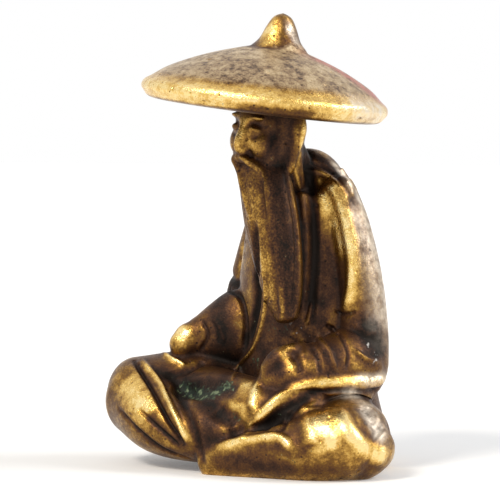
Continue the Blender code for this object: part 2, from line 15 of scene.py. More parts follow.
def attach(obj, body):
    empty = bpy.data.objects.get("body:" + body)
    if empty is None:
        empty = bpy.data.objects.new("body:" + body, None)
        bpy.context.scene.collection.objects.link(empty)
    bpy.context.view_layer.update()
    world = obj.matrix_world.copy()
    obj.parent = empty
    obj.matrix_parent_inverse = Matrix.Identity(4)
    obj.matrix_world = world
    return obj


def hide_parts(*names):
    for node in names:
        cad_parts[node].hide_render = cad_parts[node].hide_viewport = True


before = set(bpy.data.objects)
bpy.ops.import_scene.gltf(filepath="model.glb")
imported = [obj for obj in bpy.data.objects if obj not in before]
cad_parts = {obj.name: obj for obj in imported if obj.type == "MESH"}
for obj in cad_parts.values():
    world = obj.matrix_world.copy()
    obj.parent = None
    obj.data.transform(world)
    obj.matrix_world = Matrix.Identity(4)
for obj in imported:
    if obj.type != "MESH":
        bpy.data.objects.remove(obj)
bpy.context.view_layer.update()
MM = 0.001

# Camera: a close view of the small casting from 36 degrees to its left of the front, almost
# level, through a long lens. The photograph is square.
VIEW_TURN = math.radians(36)
CAMERA_DISTANCE = 0.3
CAMERA_HEIGHT = 0.036
CAMERA_ASIDE = -0.006
CAMERA_DIP = math.radians(2.32)
CAMERA_LENS_MM = 193.7
lens = bpy.data.cameras.new("camera")
lens.sensor_width = 36
lens.lens = CAMERA_LENS_MM
lens.clip_start, lens.clip_end = 0.01, 10
camera = bpy.data.objects.new("camera", lens)
camera.location = (
    CAMERA_DISTANCE * math.sin(VIEW_TURN) + CAMERA_ASIDE * math.cos(VIEW_TURN),
    -CAMERA_DISTANCE * math.cos(VIEW_TURN) + CAMERA_ASIDE * math.sin(VIEW_TURN),
    CAMERA_HEIGHT,
)
camera.rotation_euler = (math.pi / 2 - CAMERA_DIP, 0, VIEW_TURN)
bpy.context.scene.collection.objects.link(camera)
bpy.context.scene.camera = camera

# The hat is a shallow turned cone of brass, with a thick rim that rolls under and a pointed
# finial. It is cast with the head, sits a little askew, and its crown leans to one side.
HAT_RADIUS = 13.6 * MM
HAT_RISE = 6.0 * MM
HAT_UNDERSIDE = 1.45 * MM
RIM_THICKNESS = 2.0 * MM
FINIAL_RADIUS = 3.1 * MM
FINIAL_HEIGHT = 4.0 * MM
HAT_LEAN = (0.128, 0.032)
CROWN_ASIDE = np.array([0.55, 0.4, 0]) * MM
HEAD_SIZES = np.array([3.5, 4.3, 5.6]) * MM
HEAD_TURN = math.radians(12)
HEAD_CENTRE = np.array([-0.6, -5.6, 37.2]) * MM


def unit(vectors):
    """Vectors divided by their lengths."""
    return vectors / np.linalg.norm(vectors, axis=-1, keepdims=True)


HEAD_UP = unit(np.array([HAT_LEAN[0], HAT_LEAN[1], 1.0]))
GAZE = np.array([-math.sin(HEAD_TURN), -math.cos(HEAD_TURN), 0.0])
HEAD_FACING = unit(GAZE - HEAD_UP * (GAZE @ HEAD_UP))
HEAD_AXES = np.array([np.cross(HEAD_UP, HEAD_FACING), HEAD_FACING, HEAD_UP])


def on_head(left, front, up):
    """Centre plus shares of the head's half width, depth and height along its own axes."""
    return HEAD_CENTRE + (np.array([left, front, up]) * HEAD_SIZES) @ HEAD_AXES


def smooth_path(points, count):
    """Catmull-Rom curve: a cubic between each two points, whose slope at a point is half the
    step from the point before it to the point after it."""
    points = np.array(points, float)
    ends = np.vstack([2 * points[0] - points[1], points, 2 * points[-1] - points[-2]])
    at = np.linspace(0, len(points) - 1, count)
    span = np.minimum(at.astype(int), len(points) - 2)
    t = (at - span)[:, None]
    a, b, c, d = (ends[span + k] for k in range(4))
    return 0.5 * (2 * b + (c - a) * t + (2 * a - 5 * b + 4 * c - d) * t**2 + (3 * b - a - 3 * c + d) * t**3)


def skin(rings):
    """A grid of rings (along, around, 3) as points and quads, closed by a pole at each end."""
    count, around = rings.shape[:2]
    points = np.vstack([rings[0].mean(0), rings.reshape(-1, 3), rings[-1].mean(0)])
    ring = np.arange(around)
    after = (ring + 1) % around
    first = 1 + around * np.arange(count - 1)[:, None]
    quads = np.stack([first + ring, first + after, first + around + after, first + around + ring], -1)
    last = 1 + around * (count - 1)
    start = np.stack([0 * ring, 1 + after, 1 + ring], -1)
    end = np.stack([0 * ring + len(points) - 1, last + ring, last + after], -1)
    return points, quads.reshape(-1, 4).tolist() + start.tolist() + end.tolist()


def turned(profile, centre, axis, aside=(0, 0, 0), around=160, along=120):
    """A profile of radius and height carried round an axis: centre + radius (cos, sin) + height,
    and moved aside by the share of the full height that the ring has reached."""
    path = smooth_path(profile, along)
    radius, height = np.maximum(path[:, 0], 0.02 * MM), path[:, 1]
    drift = np.clip(height / height.max(), 0, 1)[:, None] * np.array(aside)
    east = unit(np.cross((0, 1, 0), axis))
    north = np.cross(axis, east)
    turn = np.linspace(0, 2 * math.pi, around, endpoint=False)
    circle = np.cos(turn)[:, None] * east + np.sin(turn)[:, None] * north
    return skin(centre + radius[:, None, None] * circle[None] + (height[:, None] * axis + drift)[:, None])


HAT_SEAT = on_head(-0.12, 0.24, 0.63)
brim_profile = [
    (0.0, -HAT_UNDERSIDE),
    (0.6 * HAT_RADIUS, -HAT_UNDERSIDE),
    (0.9 * HAT_RADIUS, -HAT_UNDERSIDE),
    (0.98 * HAT_RADIUS, -0.35 * RIM_THICKNESS),
    (HAT_RADIUS, -0.1 * RIM_THICKNESS),
    (0.985 * HAT_RADIUS, 0.22 * RIM_THICKNESS),
    (0.93 * HAT_RADIUS, 0.5 * RIM_THICKNESS),
    (0.8 * HAT_RADIUS, 0.38 * HAT_RISE),
    (0.54 * HAT_RADIUS, 0.655 * HAT_RISE),
    (0.24 * HAT_RADIUS, 0.875 * HAT_RISE),
    (0.0, HAT_RISE),
]
finial_base = 0.91 * HAT_RISE
finial_profile = [
    (0.0, finial_base - 0.38 * FINIAL_HEIGHT),
    (1.08 * FINIAL_RADIUS, finial_base - 0.3 * FINIAL_HEIGHT),
    (FINIAL_RADIUS, finial_base),
    (0.74 * FINIAL_RADIUS, finial_base + 0.24 * FINIAL_HEIGHT),
    (0.52 * FINIAL_RADIUS, finial_base + 0.62 * FINIAL_HEIGHT),
    (0.31 * FINIAL_RADIUS, finial_base + 0.88 * FINIAL_HEIGHT),
    (0.0, finial_base + FINIAL_HEIGHT),
]
finial_seat = HAT_SEAT + np.array([0.24, 0.16, -0.06]) * FINIAL_RADIUS
hat_forms = [
    turned(brim_profile, HAT_SEAT, HEAD_UP, CROWN_ASIDE),
    turned(finial_profile, finial_seat, HEAD_UP, around=60, along=60),
]

# The head is cast with a calm, plain old face: lowered lids, a straight nose, full temples and
# long ear lobes, on a short neck. It is modelled in wax, and its fine lines are pressed in.
LEFT = np.array([1.0, 0.0, 0.0])
UP = np.array([0.0, 0.0, 1.0])
NECK_RADIUS = 2.7 * MM
FACE_STEP = 0.1 * MM
FACE_SOFTENING = 26


def loft(stations, side, around=72, along=90, cap=0.7):
    """Ellipses carried along a curve. Station rows are centre, half width along the side and
    half thickness across it; each end closes as a quarter ellipse `cap` times as long as wide."""
    path = smooth_path(stations, along)
    centre, wide, thick = path[:, :3], path[:, 3], path[:, 4]
    run = unit(np.gradient(centre, axis=0))
    lateral = unit(np.array(side, float) - (run @ np.array(side, float))[:, None] * run)
    across = np.cross(run, lateral)
    swing = np.radians([86, 76, 64, 50, 34, 17])
    grow = np.concatenate([np.cos(swing), np.ones(along), np.cos(swing[::-1])])
    push = np.concatenate([-np.sin(swing), np.zeros(along), np.sin(swing[::-1])])
    which = np.concatenate([np.zeros(len(swing), int), np.arange(along), np.full(len(swing), along - 1)])
    reach = cap * 0.5 * (wide + thick)[which] * push
    turn = np.linspace(0, 2 * math.pi, around, endpoint=False)
    cosine, sine = np.cos(turn)[None, :, None], np.sin(turn)[None, :, None]
    return skin(
        (centre[which] + run[which] * reach[:, None])[:, None]
        + cosine * (lateral[which] * (wide[which] * grow)[:, None])[:, None]
        + sine * (across[which] * (thick[which] * grow)[:, None])[:, None]
    )


def egg(centre, axes, sizes, around=64, along=40):
    """An ellipsoid: centre + cos(rise) (cos, sin) on two axes + sin(rise) on the third."""
    rise = np.linspace(-math.pi / 2, math.pi / 2, along + 2)[1:-1]
    turn = np.linspace(0, 2 * math.pi, around, endpoint=False)
    east, north, up = (np.array(a) * s for a, s in zip(axes, sizes))
    circle = np.cos(turn)[:, None] * east + np.sin(turn)[:, None] * north
    return skin(centre + np.cos(rise)[:, None, None] * circle[None] + (np.sin(rise)[:, None] * up)[:, None])


def between(start, end, share, bulge=0.0):
    """start + share (end - start), bowed outwards by 4 share (1 - share) bulge."""
    outward = np.sign(end[0]) * LEFT
    return start + share * (end - start) + 4 * share * (1 - share) * bulge * outward


def joined(forms, name):
    """All forms stacked as the points and faces of one mesh object."""
    starts = np.cumsum([0] + [len(points) for points, _ in forms])
    faces = [[start + i for i in face] for start, (_, shape) in zip(starts, forms) for face in shape]
    mesh = bpy.data.meshes.new(name)
    mesh.from_pydata(np.vstack([points for points, _ in forms]).tolist(), [], faces)
    mesh.update()
    body = bpy.data.objects.new(name, mesh)
    bpy.context.scene.collection.objects.link(body)
    return body


def baked(body):
    """The object with its modifiers applied to its mesh."""
    bpy.context.view_layer.update()
    graph = bpy.context.evaluated_depsgraph_get()
    mesh = bpy.data.meshes.new_from_object(body.evaluated_get(graph))
    body.modifiers.clear()
    body.data = mesh
    return body


def rows_of(collection, field, width=3):
    """A field of a mesh collection as an array of rows."""
    values = np.empty(width * len(collection), np.float32)
    collection.foreach_get(field, values)
    return values.reshape(-1, width).astype(float)


def fused(body, step, softening):
    """One even skin round overlapping forms, smoothed a few times."""
    remesh = body.modifiers.new("fuse", "REMESH")
    remesh.mode = "VOXEL"
    remesh.voxel_size = step
    soften = body.modifiers.new("soften", "SMOOTH")
    soften.factor = 0.5
    soften.iterations = softening
    return baked(body)


def near_line(points, line, half):
    """Which points lie within half of a line, and their share: (1 - (distance / half)^2)^2,
    let down towards both ends of the line."""
    inside = (points > line.min(0) - half) & (points < line.max(0) + half)
    near = np.flatnonzero(inside.all(1))
    gap = np.linalg.norm(points[near][:, None] - line[None], axis=2)
    closest = gap.argmin(1)
    share = np.clip(1 - (gap.min(1) / half) ** 2, 0, 1) ** 2
    to_end = np.minimum(closest, len(line) - 1 - closest) / (0.14 * len(line))
    return near, share * np.clip(0.25 + to_end, 0, 1)


def pressed(body, strokes):
    """Skin moved along its normals by the sum of each stroke's amount times its share there."""
    points = rows_of(body.data.vertices, "co")
    normals = rows_of(body.data.vertex_normals, "vector")
    shift = np.zeros(len(points))
    for amount, width, line in strokes:
        near, share = near_line(points, line, width * MM)
        shift[near] += amount * MM * share
    body.data.vertices.foreach_set("co", (points + shift[:, None] * normals).ravel())
    body.data.update()


def as_form(body):
    """A fused body back as points and faces, with its object removed."""
    points = rows_of(body.data.vertices, "co")
    corners = np.empty(len(body.data.loops), np.int32)
    body.data.loops.foreach_get("vertex_index", corners)
    bpy.data.objects.remove(body)
    return points, corners.reshape(-1, 4).tolist()


def head_loft(rows, side):
    """A loft whose stations are head shares and two half sizes as shares of its half width."""
    width = HEAD_SIZES[0]
    return loft([(*on_head(*row[:3]), row[3] * width, row[4] * width) for row in rows], side, 32, 40)


def head_egg(left, front, up, sizes):
    """An ellipsoid on the head's axes, sized in shares of its half width."""
    return egg(on_head(left, front, up), HEAD_AXES, np.array(sizes) * HEAD_SIZES[0], 48, 30)


def face_line(path):
    """A smooth line on the face: shares left and up, and as far forward as the skull's own
    ellipsoid there, sqrt(1 - left^2 - up^2), times an extra share."""
    path = smooth_path(path, 40)
    front = np.sqrt(np.maximum(1 - path[:, 0] ** 2 - path[:, 1] ** 2, 0)) * path[:, 2]
    return HEAD_CENTRE + (np.stack([path[:, 0], front, path[:, 1]], 1) * HEAD_SIZES) @ HEAD_AXES


wax_head = [
    egg(HEAD_CENTRE, HEAD_AXES, HEAD_SIZES, 96, 60),
    head_egg(0, 0.36, -0.58, (0.66, 0.64, 0.62)),
    head_loft(
        [
            (0, 0.8, 0.22, 0.12, 0.2),
            (0, 0.9, -0.08, 0.12, 0.24),
            (0, 0.96, -0.3, 0.15, 0.27),
            (0, 0.95, -0.42, 0.17, 0.22),
        ],
        HEAD_AXES[0],
    ),
]
face_strokes = [
    (0.3, 0.34, face_line([(-0.3, -0.67, 1.06), (0, -0.645, 1.14), (0.3, -0.67, 1.06)])),
    (0.34, 0.38, face_line([(-0.24, -0.76, 1.14), (0, -0.77, 1.24), (0.24, -0.76, 1.14)])),
    (-0.2, 0.2, face_line([(-0.36, -0.7, 1.04), (0, -0.71, 1.2), (0.36, -0.7, 1.04)])),
]
for way in (-1, 1):
    wax_head += [
        head_egg(0.46 * way, 0.6, -0.26, (0.38, 0.36, 0.5)),
        head_egg(0.14 * way, 0.9, -0.44, (0.1, 0.14, 0.1)),
        head_egg(0.42 * way, 0.85, 0.0, (0.2, 0.15, 0.14)),
        head_egg(0.42 * way, 0.84, 0.23, (0.34, 0.14, 0.09)),
        head_loft(
            [
                (0.88 * way, 0.1, 0.42, 0.12, 0.34),
                (0.9 * way, 0.14, 0.0, 0.14, 0.36),
                (0.82 * way, 0.26, -0.44, 0.2, 0.4),
                (0.52 * way, 0.36, -0.86, 0.22, 0.32),
            ],
            HEAD_AXES[0],
        ),
        head_loft(
            [
                (0.98 * way, -0.16, 0.42, 0.13, 0.2),
                (1.08 * way, -0.2, 0.1, 0.17, 0.27),
                (1.06 * way, -0.14, -0.3, 0.15, 0.2),
                (0.98 * way, -0.05, -0.74, 0.14, 0.17),
            ],
            HEAD_AXES[0],
        ),
    ]
    under_brow = [(0.19 * way, -0.04, 1), (0.25 * way, 0.08, 1), (0.44 * way, 0.125, 1), (0.66 * way, 0.04, 1)]
    lids_meet = [(0.24 * way, -0.03, 1.02), (0.42 * way, -0.055, 1.03), (0.62 * way, -0.02, 1.02)]
    under_lid = [(0.24 * way, -0.13, 1), (0.42 * way, -0.16, 1), (0.6 * way, -0.12, 1)]
    cheek_crease = [(0.24 * way, -0.38, 1.0), (0.36 * way, -0.53, 1.0), (0.42 * way, -0.7, 1.0)]
    ear_hollow = [on_head(1.16 * way, -0.14, 0.22), on_head(1.18 * way, -0.16, -0.1)]
    face_strokes += [
        (-0.2, 0.42, face_line(under_brow)),
        (-0.14, 0.2, face_line(lids_meet)),
        (-0.1, 0.3, face_line(under_lid)),
        (-0.18, 0.45, face_line(cheek_crease)),
        (-0.25, 0.4, smooth_path(ear_hollow, 30)),
    ]
NAPE = np.array([0, -1.51, 30.76]) * MM
neck = [(*between(NAPE, HEAD_CENTRE, share), NECK_RADIUS, 1.08 * NECK_RADIUS) for share in (0, 0.5, 0.9)]
wax_head.append(loft(neck, LEFT))
head = fused(joined(wax_head, "head"), FACE_STEP, FACE_SOFTENING)
pressed(head, face_strokes)

# The beard is one flat lock that hangs from the whole jaw to the belly, close to the chest. It
# drifts to the figure's left on its way down, and a moustache lies on it.
BEARD_LENGTH = 16.2 * MM
BEARD_HALF_WIDTH = 3.45 * MM
BEARD_DRIFT = 4.5 * MM
CHIN = on_head(0.07, 0.28, -0.76)
beard_taper = [
    (0, 0.05, 0, 0.78, 0.7),
    (0.16, 0.24, 0, 0.89, 0.76),
    (0.4, 0.46, 0.27, 0.93, 0.7),
    (0.65, 0.7, 0.55, 0.82, 0.6),
    (0.86, 0.88, 0.82, 0.64, 0.48),
    (1, 1, 1, 0.38, 0.32),
]
beard_stations = np.array([
    (
        CHIN[0] + drift * BEARD_DRIFT,
        CHIN[1] - 0.24 * lean * BEARD_DRIFT,
        CHIN[2] - down * BEARD_LENGTH,
        wide * BEARD_HALF_WIDTH,
        thick * BEARD_HALF_WIDTH,
    )
    for down, drift, lean, wide, thick in beard_taper
])
beard_downs = np.array([row[0] for row in beard_taper])


def on_beard(down, across, out=1.0):
    """A place on the beard's front: its axis at this share of the length, plus across half
    widths sideways and sqrt(1 - across^2) half thicknesses forward."""
    x, y, z, wide, thick = (np.interp(down, beard_downs, column) for column in beard_stations.T)
    return np.array([x + across * wide, y - out * math.sqrt(1 - across**2) * thick, z])


beard_forms = [loft(beard_stations, LEFT, 90, 120, 0.5)]
for way in (-1, 1):
    moustache = [
        (*on_head(0.07 * way, 0.92, -0.55), 0.34 * MM, 0.5 * MM),
        (*on_head(0.32 * way, 0.84, -0.62), 0.44 * MM, 0.62 * MM),
        (*on_beard(0.02, 0.52 * way, 0.94), 0.44 * MM, 0.56 * MM),
        (*on_beard(0.16, 0.5 * way, 0.94), 0.4 * MM, 0.46 * MM),
        (*on_beard(0.34, 0.36 * way, 0.94), 0.24 * MM, 0.3 * MM),
    ]
    beard_forms.append(loft(moustache, LEFT, 32, 50))

# The robe is a loose trunk with a thick collar behind the neck. The sleeves fall from it over
# both forearms: the right fist rests on the thigh, and the left hand lies in the lap. The end
# of the robe's hem lies round the left hip.
SHOULDER_HEIGHT = 29.0 * MM
SHOULDER_LINE = 1.04 * SHOULDER_HEIGHT
SEAT_HALF_WIDTH = 9.2 * MM
SEAT_HALF_DEPTH = 7.6 * MM
SEAT_BACK = 1.2 * MM
trunk_girth = [
    (-0.03, 1.0, 0.98, 0.98),
    (0.1, 0.9, 1.0, 1.0),
    (0.28, 0.5, 0.89, 0.94),
    (0.48, 0.25, 0.89, 0.92),
    (0.69, -0.17, 0.8, 0.87),
    (0.86, -0.17, 0.71, 0.83),
    (1.0, 0.0, 0.65, 0.78),
    (1.09, -0.15, 0.49, 0.62),
    (1.16, -1.3, 0.25, 0.36),
]
trunk = [
    (0, behind * SEAT_BACK, up * SHOULDER_HEIGHT, wide * SEAT_HALF_WIDTH, deep * SEAT_HALF_DEPTH)
    for up, behind, wide, deep in trunk_girth
]

RIGHT_ARM_RADIUS = 2.1 * MM
LEFT_ARM_RADIUS = 2.5 * MM
RIGHT_ELBOW = np.array([-7.9, 0.0, 18.3]) * MM
RIGHT_WRIST = np.array([-9.85, -6.2, 14.0]) * MM
RIGHT_SLEEVE_MOUTH = 2.4 * MM
RIGHT_SLEEVE_ROOT = 5.0 * MM
FIST_RADIUS = 1.9 * MM
LEFT_ELBOW = np.array([8.8, -1.2, 11.5]) * MM
LEFT_SLEEVE_HALF_HEIGHT = 4.4 * MM
THUMB_RADIUS = 1.3 * MM


def upper_arm(shoulder, elbow, bulge, radius):
    """A round limb from shoulder to elbow that thickens downwards."""
    rows = []
    for share, size in ((0, 0.88), (0.2, 0.96), (0.5, 1.0), (0.8, 1.06), (1, 1.12)):
        rows.append((*between(shoulder, elbow, share, bulge), size * radius, size * radius))
    return loft(rows, LEFT)


right_shoulder = np.array([-0.48 * SEAT_HALF_WIDTH, 0, 0.985 * SHOULDER_LINE])
left_shoulder = np.array([0.54 * SEAT_HALF_WIDTH, -0.25 * LEFT_ARM_RADIUS, SHOULDER_LINE])
sleeve_root = RIGHT_ELBOW + np.array([1.5, -1.1, -1.4]) * RIGHT_ARM_RADIUS
right_sleeve = []
for share, closing in ((0, 0), (0.4, 0.24), (0.73, 0.62), (1, 1)):
    half = RIGHT_SLEEVE_ROOT + closing * (RIGHT_SLEEVE_MOUTH - RIGHT_SLEEVE_ROOT)
    right_sleeve.append((*between(sleeve_root, RIGHT_WRIST, share), half, 0.8 * half))
fist = RIGHT_WRIST + np.array([-0.42, -0.38, -0.06]) * FIST_RADIUS
knuckles = fist + np.array([-0.26, -0.36, -0.32]) * FIST_RADIUS
sleeve_fall = [
    (-0.1, -0.2, 0.0, 1.0, 0.8),
    (-0.27, -0.9, -0.14, 0.92, 0.78),
    (-0.77, -1.5, -0.27, 0.78, 0.76),
    (-1.41, -1.84, -0.39, 0.57, 0.57),
]
left_sleeve = np.array(sleeve_fall) * LEFT_SLEEVE_HALF_HEIGHT
left_sleeve[:, :3] += LEFT_ELBOW
palm = LEFT_ELBOW + np.array([-0.86, -1.6, 0.36]) * LEFT_SLEEVE_HALF_HEIGHT
thumb_curl = [(0, 0, 0, 1), (-1.05, -1.15, -0.55, 1.05), (-1.85, -1.7, -1.53, 0.85)]
thumb = [
    (*(palm + np.array(row[:3]) * THUMB_RADIUS), row[3] * THUMB_RADIUS, row[3] * THUMB_RADIUS)
    for row in thumb_curl
]
upright = (LEFT, np.cross(UP, LEFT), UP)
hem_end = np.array([
    (8.9, -4.5, 10.7, 2.0, 1.25),
    (9.7, -1.2, 10.4, 2.0, 1.2),
    (8.8, 1.6, 10.5, 1.6, 0.9),
    (6.4, 4.6, 10.9, 1.2, 0.6),
]) * MM
robe_forms = [
    loft(trunk, LEFT, 140, 110, 0.2),
    upper_arm(left_shoulder, LEFT_ELBOW, 0.5 * LEFT_ARM_RADIUS, LEFT_ARM_RADIUS),
    loft(left_sleeve, UP),
    loft(thumb, UP, 48, 40),
    loft(hem_end, UP, 48, 40),
    upper_arm(right_shoulder, RIGHT_ELBOW, 0.1 * RIGHT_ARM_RADIUS, RIGHT_ARM_RADIUS),
    loft(right_sleeve, UP),
    egg(fist, upright, (FIST_RADIUS, FIST_RADIUS, 0.98 * FIST_RADIUS)),
    egg(knuckles, upright, (0.84 * FIST_RADIUS,) * 3),
]

# The legs are crossed in loose trousers, with the knees out to the sides. The right knee is
# raised a little off the ground, and the left shin lies along the front.
KNEE_REACH = 15.0 * MM
KNEE_FORWARD = 9.0 * MM
KNEE_RADIUS = 4.5 * MM
RIGHT_KNEE_HEIGHT = 6.95 * MM
LEFT_KNEE_HEIGHT = 3.8 * MM
THIGH_RADIUS = 5.0 * MM
SHIN_FORWARD = 12.9 * MM
LAP_HEIGHT = 6.9 * MM
LAP_RADIUS = 3.5 * MM
SKIRT_RADIUS = 3.2 * MM
UNDER_LEGS = np.array([0, -7, 3]) * MM
UNDER_LEGS_SIZES = np.array([9, 5, 2.4]) * MM


def limb(rows, forward, height, radius):
    """A loft from rows of reach, forward and height shares and two radius shares."""
    scale = np.array([KNEE_REACH, -forward, height, radius, radius])
    return loft(np.array(rows) * scale, UP, 96, 90)


right_thigh = [
    (-0.3, 0, 0.88, 1.08, 1.04),
    (-0.6, 0.45, 1.07, 1.04, 1.04),
    (-0.86, 0.8, 1.07, 0.99, 1.0),
    (-1.118, 1, 1.1, 0.82, 0.98),
]
right_shin = [
    (-1.02, 0.7, 1.02, 1.05, 1.05),
    (-0.72, 0.92, 0.76, 0.88, 0.87),
    (-0.4, 0.95, 0.63, 0.78, 0.78),
    (-0.05, 0.9, 0.59, 0.69, 0.69),
]
left_thigh = [
    (0.3, 0, 1.05, 0.92, 1),
    (0.5, 0.42, 1.05, 0.92, 1),
    (0.72, 0.78, 1.05, 0.9, 0.94),
    (0.85, 0.96, 0.98, 0.81, 0.88),
]
left_shin = [
    (0.8, 0.7, 1.0, 0.87, 0.97),
    (0.58, 0.86, 0.82, 0.82, 0.82),
    (0.22, 0.96, 0.65, 0.67, 0.67),
    (-0.17, 1.02, 0.38, 0.53, 0.57),
]
lap = [
    (-0.6, 0.78, 1.16, 0.92, 0.97),
    (-0.27, 0.98, 1.04, 1.03, 1.08),
    (0.13, 1.09, 0.96, 0.97, 1.03),
    (0.47, 0.96, 0.93, 0.92, 0.97),
]
skirt = [
    (-0.89 * SEAT_HALF_WIDTH, 0.16 * SKIRT_RADIUS, 0.69 * SKIRT_RADIUS, SKIRT_RADIUS, 1.31 * SKIRT_RADIUS),
    (0, 0.58 * SEAT_HALF_DEPTH, 0.63 * SKIRT_RADIUS, 1.06 * SKIRT_RADIUS, 1.31 * SKIRT_RADIUS),
    (0.83 * SEAT_HALF_WIDTH, -0.19 * SKIRT_RADIUS, 0.63 * SKIRT_RADIUS, SKIRT_RADIUS, 1.38 * SKIRT_RADIUS),
]
leg_forms = [
    limb(right_thigh, KNEE_FORWARD, RIGHT_KNEE_HEIGHT, THIGH_RADIUS),
    limb(right_shin, SHIN_FORWARD, RIGHT_KNEE_HEIGHT, KNEE_RADIUS),
    limb(left_thigh, KNEE_FORWARD, LEFT_KNEE_HEIGHT, THIGH_RADIUS),
    limb(left_shin, SHIN_FORWARD, LEFT_KNEE_HEIGHT, KNEE_RADIUS),
    limb(lap, KNEE_FORWARD, LAP_HEIGHT, LAP_RADIUS),
    loft(skirt, UP, 96, 90),
    egg(UNDER_LEGS, upright, UNDER_LEGS_SIZES),
]

